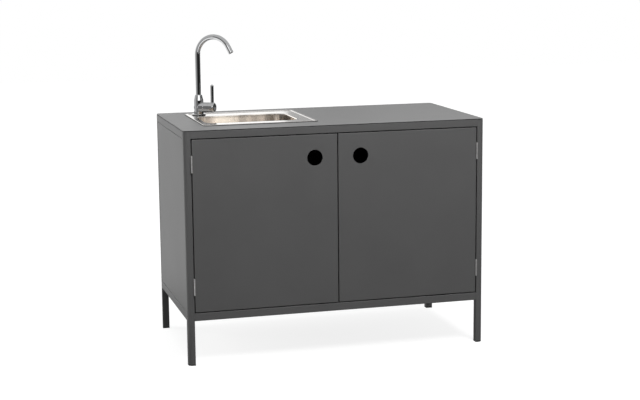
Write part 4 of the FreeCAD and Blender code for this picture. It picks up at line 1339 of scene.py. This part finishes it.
@dataclass
class Tap(Assembly):
    """Mixer tap: base, body with side housing, gooseneck spout, hub and upright lever rod.

    Lengths are in millimetres and angles in degrees. A table of pairs holds corners of a section:
    each is a way outwards and a way up. A hidden part has a slot and the width of its rounding.
    """

    base_foot: float = 903.5
    base_top: float = 907.5
    base_radius: float = 27.0
    base_bore: float = 16.8
    base_round: float = 1.6
    base_break: float = 0.3
    body_radius: float = 20.0
    body_top: float = 963.5
    body_foot: Corners = ((-0.4, 0.0), (0.0, 0.4))
    brow: Corners = ((0.0, -2.2), (-0.1, -0.9), (-0.45, 0.6), (-0.9, 2.1))
    shoulder_radius: float = 14.5
    shoulder_top: float = 984.5
    collar: Corners = ((0.5, -1.6), (0.1, -0.7), (-0.5, -0.1), (-1.1, 0.0))
    mouth: Corners = ((0.5, 0.0), (0.0, -0.5))
    spout_radius: float = 11.0
    spout_play: float = 0.08
    spout_foot: float = 955.1
    spout_gap: float = 0.3
    neck_top: float = 1143.0
    arc_radius: float = 74.0
    arc_sweep: float = 150.0
    arc_steps: int = 36
    spout_turn: float = -40.0
    nozzle_length: float = 29.0
    nozzle_collar: Corners = ((0.0, 0.0), (0.0, 1.6), (-0.5, 1.9), (-0.5, 2.7), (0.0, 3.0))
    nozzle_lip: Corners = ((0.0, -12.2), (-1.1, -11.8), (-1.1, -9.4), (0.0, -9.0), (0.0, -0.6),
                           (-0.6, 0.0), (-1.6, 0.0), (-2.0, -0.5), (-2.0, -6.0))
    housing_z: float = 934.0
    housing_turn: float = -35.0
    housing_radius: float = 21.3
    housing_root: Corners = ((0.0, -3.0), (15.0, -2.2), (19.4, 0.0), (20.8, 3.0))
    housing_start: float = 7.0
    pivot: float = 19.0
    dome_radius: float = 22.0
    dome_gap: float = 0.4
    chamber: float = 16.3
    chamber_end: float = 22.0
    hub_end: float = 72.0
    hub_round: float = 8.0
    hub_edge: float = 0.3
    hub_lip: float = 0.35
    hub_seam: float = 46.0
    seam: Corners = ((0.0, -0.5), (-0.6, -0.3), (-0.6, 0.3), (0.0, 0.5))
    rod_offset: float = 60.0
    rod_radius: float = 7.0
    rod_foot: float = 946.0
    rod_top: float = 1027.0
    sieve_rings: Rings = ((2.6, 6), (5.6, 12))
    sieve_hole: float = 0.9
    sieve_inset: float = 1.9
    sieve_depth: float = 3.2
    sieve_sheet: float = 0.8
    sieve_smooth_angle: float = 30.0
    body_steps: int = 72
    rod_steps: int = 40
    hidden: dict[str, tuple[Slot, float]] = field(default_factory=lambda: {
        "tap_base_gasket": (Slot.RUBBER, 0.3), "tap_shank": (Slot.BRASS, 0.4),
        "tap_backnut": (Slot.BRASS, 0.6), "cartridge_shell": (Slot.PLASTIC, 0.4),
        "cartridge_core": (Slot.BRASS, 0.3), "lever_stem": (Slot.BRASS, 0.2)})

    def at_foot(self, turn: float, lift: float = 0.0) -> Matrix:
        """Placing of a mesh about the tap's axis, turned by an angle and raised."""
        return in_millimetres(axis_of("tap_base_ring"), lift, turn)

    def sideways(self) -> Matrix:
        """Turns a shape about the z axis into one that lies along the side housing."""
        return self.at_foot(self.housing_turn, self.housing_z) @ Matrix.Rotation(QUARTER_TURN, 4, "Y")

    def base_ring(self) -> BMesh:
        """Flat ring under the body, its upper edge rounded.

        Returns:
            The ring in its place.
        """
        low, high, out, turn = self.base_foot, self.base_top, self.base_radius, self.base_round
        profile = [(self.base_bore, low), (out - self.base_break, low), (out, low + self.base_break),
                   (out, high - turn), *curve((out - turn, high - turn), turn, 0, 90, steps=5),
                   (self.base_bore, high), (self.base_bore, low)]
        return moved(turned_shape(profile, self.body_steps), self.at_foot(0))

    def trunk(self) -> BMesh:
        """Upright body with its sloped shoulder.

        Returns:
            The body in its place.
        """
        out, top, neck, end = self.body_radius, self.body_top, self.shoulder_radius, self.shoulder_top
        low, seat = self.base_top, self.spout_foot - self.spout_gap
        bore = self.spout_radius + self.spout_play
        profile = [(0, low), *shifted(self.body_foot, out, low), *shifted(self.brow, out, top),
                   *shifted(self.collar, neck, end), *shifted(self.mouth, bore, end), (bore, seat),
                   (0, seat)]
        return moved(turned_shape(profile, self.body_steps), self.at_foot(0))

    def branch(self) -> BMesh:
        """Side housing with its domed end, open for the cartridge.

        Returns:
            The housing in its place.
        """
        reach, mouth = (math.degrees(math.acos(radius / self.dome_radius))
                        for radius in (self.housing_radius, self.chamber))
        profile = [*self.housing_root, (self.housing_radius, self.housing_start),
                   *curve((0, self.pivot), self.dome_radius, reach, mouth, steps=8),
                   (self.chamber, self.chamber_end), (0, self.chamber_end)]
        return moved(turned_shape(profile, self.body_steps), self.sideways())

    def hub(self) -> BMesh:
        """Hub that tips on the dome, its far end softly rounded.

        Returns:
            The hub in its place.
        """
        out, end, turn = self.housing_radius, self.hub_end, self.hub_round
        inner = self.dome_radius + self.dome_gap
        edge = math.acos((out - self.hub_edge) / inner)
        start = self.pivot + inner * math.sin(edge)
        profile = [*curve((0, self.pivot), inner, 90, math.degrees(edge), steps=12),
                   (out, start + self.hub_lip), *shifted(self.seam, out, self.hub_seam),
                   *curve((out - turn, end - turn), turn, 0, 90, steps=10), (0, end)]
        return moved(turned_shape(profile, self.body_steps), self.sideways())

    def rod(self) -> BMesh:
        """Lever rod with a round tip.

        Returns:
            The rod in its place.
        """
        radius, shoulder = self.rod_radius, self.rod_top - self.rod_radius
        shape = turned_shape([(0, self.rod_foot), (radius, self.rod_foot), (radius, shoulder),
                              *curve((0, shoulder), radius, 0, 90, steps=10)], self.rod_steps)
        bmesh.ops.translate(shape, verts=shape.verts, vec=(self.rod_offset, 0, 0))
        return moved(shape, self.at_foot(self.housing_turn))

    def neck(self) -> BMesh:
        """Gooseneck: an upright that runs on into a large arc.

        Returns:
            The tube in its place.
        """
        mesh = bmesh.new()
        foot, top = self.spout_foot, self.neck_top
        bmesh.ops.create_circle(mesh, cap_ends=True, segments=self.rod_steps, radius=self.spout_radius,
                                matrix=Matrix.Translation((0, 0, foot)))
        raised = bmesh.ops.extrude_face_region(mesh, geom=mesh.faces[:], use_keep_orig=True)["geom"]
        bmesh.ops.translate(mesh, verts=of_kind(raised, BMVert), vec=(0, 0, top - foot))
        bmesh.ops.spin(mesh, geom=of_kind(raised, BMFace), cent=(self.arc_radius, 0, top),
                       axis=(0, 1, 0), angle=math.radians(self.arc_sweep), steps=self.arc_steps)
        bmesh.ops.recalc_face_normals(mesh, faces=mesh.faces)
        return moved(mesh, self.at_foot(self.spout_turn))

    def nozzle(self) -> BMesh:
        """Nozzle at the spout's end, with grooves, a recessed mouth and a sieve plate.

        Returns:
            The nozzle in its place.
        """
        out, end, sweep = self.spout_radius, self.nozzle_length, math.radians(self.arc_sweep)
        lip = shifted(self.nozzle_lip, out, end)
        sleeve = turned_shape([(0, 0), *shifted(self.nozzle_collar, out, 0), *lip, (0, lip[-1][1])])
        sieve = holed_plate(out - self.sieve_inset, end - self.sieve_depth, end - self.sieve_depth
                            + self.sieve_sheet, self.sieve_rings, self.sieve_hole)
        for face in sieve.faces:
            face.material_index = LINING
        spot = Matrix.Translation((self.arc_radius * (1 - math.cos(sweep)), 0,
                                   self.neck_top + self.arc_radius * math.sin(sweep)))
        lean = Matrix.Rotation(sweep, 4, "Y")
        return moved(gathered([sleeve, sieve]), self.at_foot(self.spout_turn) @ spot @ lean)

    def pieces(self) -> list[Piece]:
        """All pieces of the tap.

        Returns:
            The pieces, the hidden ones last.
        """
        body = gathered([self.trunk(), self.branch()])
        shown = [Piece("tap_base_disc", self.base_ring(), Slot.CHROME, "tap_base_ring"),
                 Piece("tap_trunk", body, Slot.CHROME, "tap_body"),
                 Piece("spout_neck", self.neck(), Slot.CHROME, "spout"),
                 Piece("spout_mouth", self.nozzle(), Slot.CHROME, "spout_nozzle",
                       lining=Slot.PLASTIC.value, smooth_angle=self.sieve_smooth_angle),
                 Piece("lever_hub_cap", self.hub(), Slot.CHROME, "lever_hub"),
                 Piece("lever_rod_pin", self.rod(), Slot.CHROME, "lever_rod")]
        return shown + [eased(f"{node}_part", node, width * MM, slot)
                        for node, (slot, width) in self.hidden.items()]


@dataclass
class Studio:
    """Pale floor, soft boxes and the camera at the photograph's angle.

    A soft box has its place, the point that it faces, its side and its power. A card has the plan
    points of its two ends, its foot, its top and the grey level that it shows. A level card has two
    corners, its height and its grey level.
    """

    camera_place: Point = (-1.5497, -5.7086, 1.5777)
    yaw: float = 15.295
    pitch: float = 9.776
    roll: float = -0.568
    lens: float = 83.6
    sensor: float = 36.0
    floor_size: float = 24.0
    fill: float = 0.2
    floor_near: float = 7.0
    floor_glow: float = 0.84
    floor_level: float = 0.3
    floor_bounce: float = 0.15
    boxes: dict[str, tuple[Point, Point, float, float]] = field(default_factory=lambda: {
        "overhead": ((-0.3, 0.0, 4.2), (0.0, 0.0, 0.9), 3.2, 76.0),
        "left": ((-4.2, 2.1, 2.1), (0.0, 0.0, 0.6), 2.2, 71.0),
        "front": ((0.8, -2.3, 3.4), (0.1, 0.0, 0.8), 1.2, 82.0),
    })
    cards: dict[str, tuple[Pair, Pair, float, float, float]] = field(default_factory=lambda: {
        "near_card": ((-2.9, -4.4), (4.2, -4.4), 0.0, 1.7, 0.02),
        "near_window": ((-2.9, -4.4), (0.62, -4.4), 1.7, 2.4, 1.7),
        "near_drape": ((0.62, -4.4), (4.2, -4.4), 1.7, 2.4, 0.2),
        "near_window_top": ((-2.9, -4.4), (1.9, -4.4), 2.4, 3.6, 1.8),
        "near_drape_top": ((1.9, -4.4), (4.2, -4.4), 2.4, 3.6, 0.3),
        "near_left_card": ((-4.6, -1.5), (-2.9, -4.4), 0.0, 3.6, 0.2),
        "left_card": ((-4.6, 3.5), (-4.6, -1.5), 0.0, 3.6, 0.55),
        "far_right_card": ((4.2, 5.0), (1.7, 5.0), 0.0, 3.6, 0.9),
        "far_drape": ((1.7, 5.0), (1.12, 5.0), 0.0, 3.6, 0.45),
        "far_window": ((1.12, 5.0), (-4.6, 5.0), 0.0, 3.6, 1.25),
        "right_card": ((4.2, -4.4), (4.2, 3.5), 0.0, 3.6, 0.06),
    })
    level_cards: dict[str, tuple[Pair, Pair, float, float]] = field(default_factory=lambda: {
        "ceiling_card": ((-4.6, -4.4), (4.2, 5.0), 3.6, 0.65),
        "floor_card": ((-0.9, -4.4), (4.2, 0.9), 0.001, 0.3),
    })

    def camera(self) -> None:
        """Camera with the photograph's place, turn and lens."""
        yaw, pitch, roll = map(math.radians, (self.yaw, self.pitch, self.roll))
        level = Vector((math.cos(yaw), -math.sin(yaw), 0))
        ahead = Vector((math.sin(yaw) * math.cos(pitch), math.cos(yaw) * math.cos(pitch), -math.sin(pitch)))
        upright = level.cross(ahead)
        right = level * math.cos(roll) + upright * math.sin(roll)
        up = -level * math.sin(roll) + upright * math.cos(roll)
        data = bpy.data.cameras.new("camera")
        data.lens = self.lens
        data.sensor_width = self.sensor
        item = in_scene("camera", data)
        turn = Matrix((right, up, -ahead)).transposed().to_4x4()
        item.matrix_world = Matrix.Translation(self.camera_place) @ turn
        bpy.context.scene.camera = item

    def prop(self, name: str, mesh: BMesh, sheet: NodeSheet) -> bpy.types.Object:
        """Thing that belongs to the studio, not to the part.

        Args:
            name: Name of the thing.
            mesh: Its mesh.
            sheet: Node tree of its material.

        Returns:
            The object.
        """
        data = mesh_data(name, mesh)
        data.materials.append(sheet.owner)
        item = in_scene(name, data)
        return item

    def white_share(self, sheet: NodeSheet) -> Value:
        """One for rays that see the background: from the camera, in a reflection or through glass."""
        kinds = [sheet.add("ShaderNodeLightPath", output=kind)
                 for kind in ("Is Camera Ray", "Is Glossy Ray", "Is Transmission Ray")]
        return kinds[0].larger(kinds[1].larger(kinds[2]))

    def world(self) -> None:
        """White background and a soft fill."""
        world = bpy.data.worlds.new("studio")
        bpy.context.scene.world = world
        sheet = NodeSheet(world)
        seen = self.white_share(sheet)
        strength = seen * (1.0 - self.fill) + self.fill
        glow = sheet.add("ShaderNodeBackground", inputs={"Color": WHITE, "Strength": strength})
        sheet.add("ShaderNodeOutputWorld", inputs={"Surface": glow})

    def floor(self) -> None:
        """Pale floor that keeps a soft contact shadow."""
        mesh = bmesh.new()
        bmesh.ops.create_grid(mesh, x_segments=1, y_segments=1, size=self.floor_size / 2)
        sheet = NodeSheet(bpy.data.materials.new("floor"))
        matte = sheet.add("ShaderNodeBsdfDiffuse", inputs={"Color": grey(self.floor_level)})
        spread = sheet.add("ShaderNodeMapping",
                           inputs={"Vector": sheet.place(), "Scale": [1 / self.floor_near] * 3})
        near = sheet.add("ShaderNodeTexGradient", settings={"gradient_type": "QUADRATIC_SPHERE"},
                         inputs={"Vector": spread}, output="Fac")
        strength = 1.0 - near * (1.0 - self.floor_glow)
        glow = sheet.add("ShaderNodeEmission", inputs={"Color": WHITE, "Strength": strength})
        seen = sheet.add("ShaderNodeAddShader", inputs={0: matte, 1: glow})
        bounce = sheet.add("ShaderNodeBsdfDiffuse", inputs={"Color": grey(self.floor_bounce)})
        mixed = sheet.add("ShaderNodeMixShader", inputs={0: self.white_share(sheet), 1: bounce, 2: seen})
        sheet.add("ShaderNodeOutputMaterial", inputs={"Surface": mixed})
        self.prop("floor", mesh, sheet)

    def card(self, name: str, low: Point, high: Point, rise: Point, level: float) -> None:
        """One plain card that only reflections see.

        Args:
            name: Name of the card.
            low: One end of its first edge.
            high: Other end of that edge.
            rise: Way from the first edge to the one across.
            level: Grey level that it shows.
        """
        mesh = bmesh.new()
        edge = mesh.edges.new([mesh.verts.new(corner) for corner in (low, high)])
        grown = bmesh.ops.extrude_edge_only(mesh, edges=[edge])["geom"]
        bmesh.ops.translate(mesh, verts=of_kind(grown, BMVert), vec=rise)
        sheet = NodeSheet(bpy.data.materials.new(name))
        glow = sheet.add("ShaderNodeEmission", inputs={"Color": WHITE, "Strength": level})
        sheet.add("ShaderNodeOutputMaterial", inputs={"Surface": glow})
        item = self.prop(name, mesh, sheet)
        item.visible_camera = item.visible_diffuse = item.visible_shadow = item.visible_transmission = False

    def reflected_room(self) -> None:
        """Grey cards round and above the part, so that bright metal keeps its contrast."""
        for name, (first, last, foot, top, level) in self.cards.items():
            self.card(name, (*first, foot), (*last, foot), (0.0, 0.0, top - foot), level)
        for name, (low, high, height, level) in self.level_cards.items():
            self.card(name, (*low, height), (high[0], low[1], height), (0.0, high[1] - low[1], 0.0), level)

    def lamps(self) -> None:
        """Soft boxes above, to the left and to the front right."""
        for name, (place, target, size, power) in self.boxes.items():
            data = bpy.data.lights.new(name, "AREA")
            data.shape = "SQUARE"
            data.size = size
            data.energy = power
            item = in_scene(name, data)
            look = (Vector(target) - Vector(place)).to_track_quat("-Z", "Y")
            item.matrix_world = Matrix.Translation(place) @ look.to_matrix().to_4x4()
            item.visible_glossy = False

    def build(self) -> None:
        """Set up the camera, world, floor, cards and soft boxes."""
        self.camera()
        self.world()
        self.floor()
        self.reflected_room()
        self.lamps()
        bpy.context.scene.view_settings.view_transform = "Standard"


def main() -> None:
    """Build every group of pieces in order."""
    logging.basicConfig(level=logging.INFO, format="%(message)s")
    Studio().build()
    for group in (Top(), Frame(), Panels(), Doors(), Hinges(), Catch(), Basin(), Strainer(), Trap(), Tap()):
        group.build()


if __name__ == "__main__":
    main()
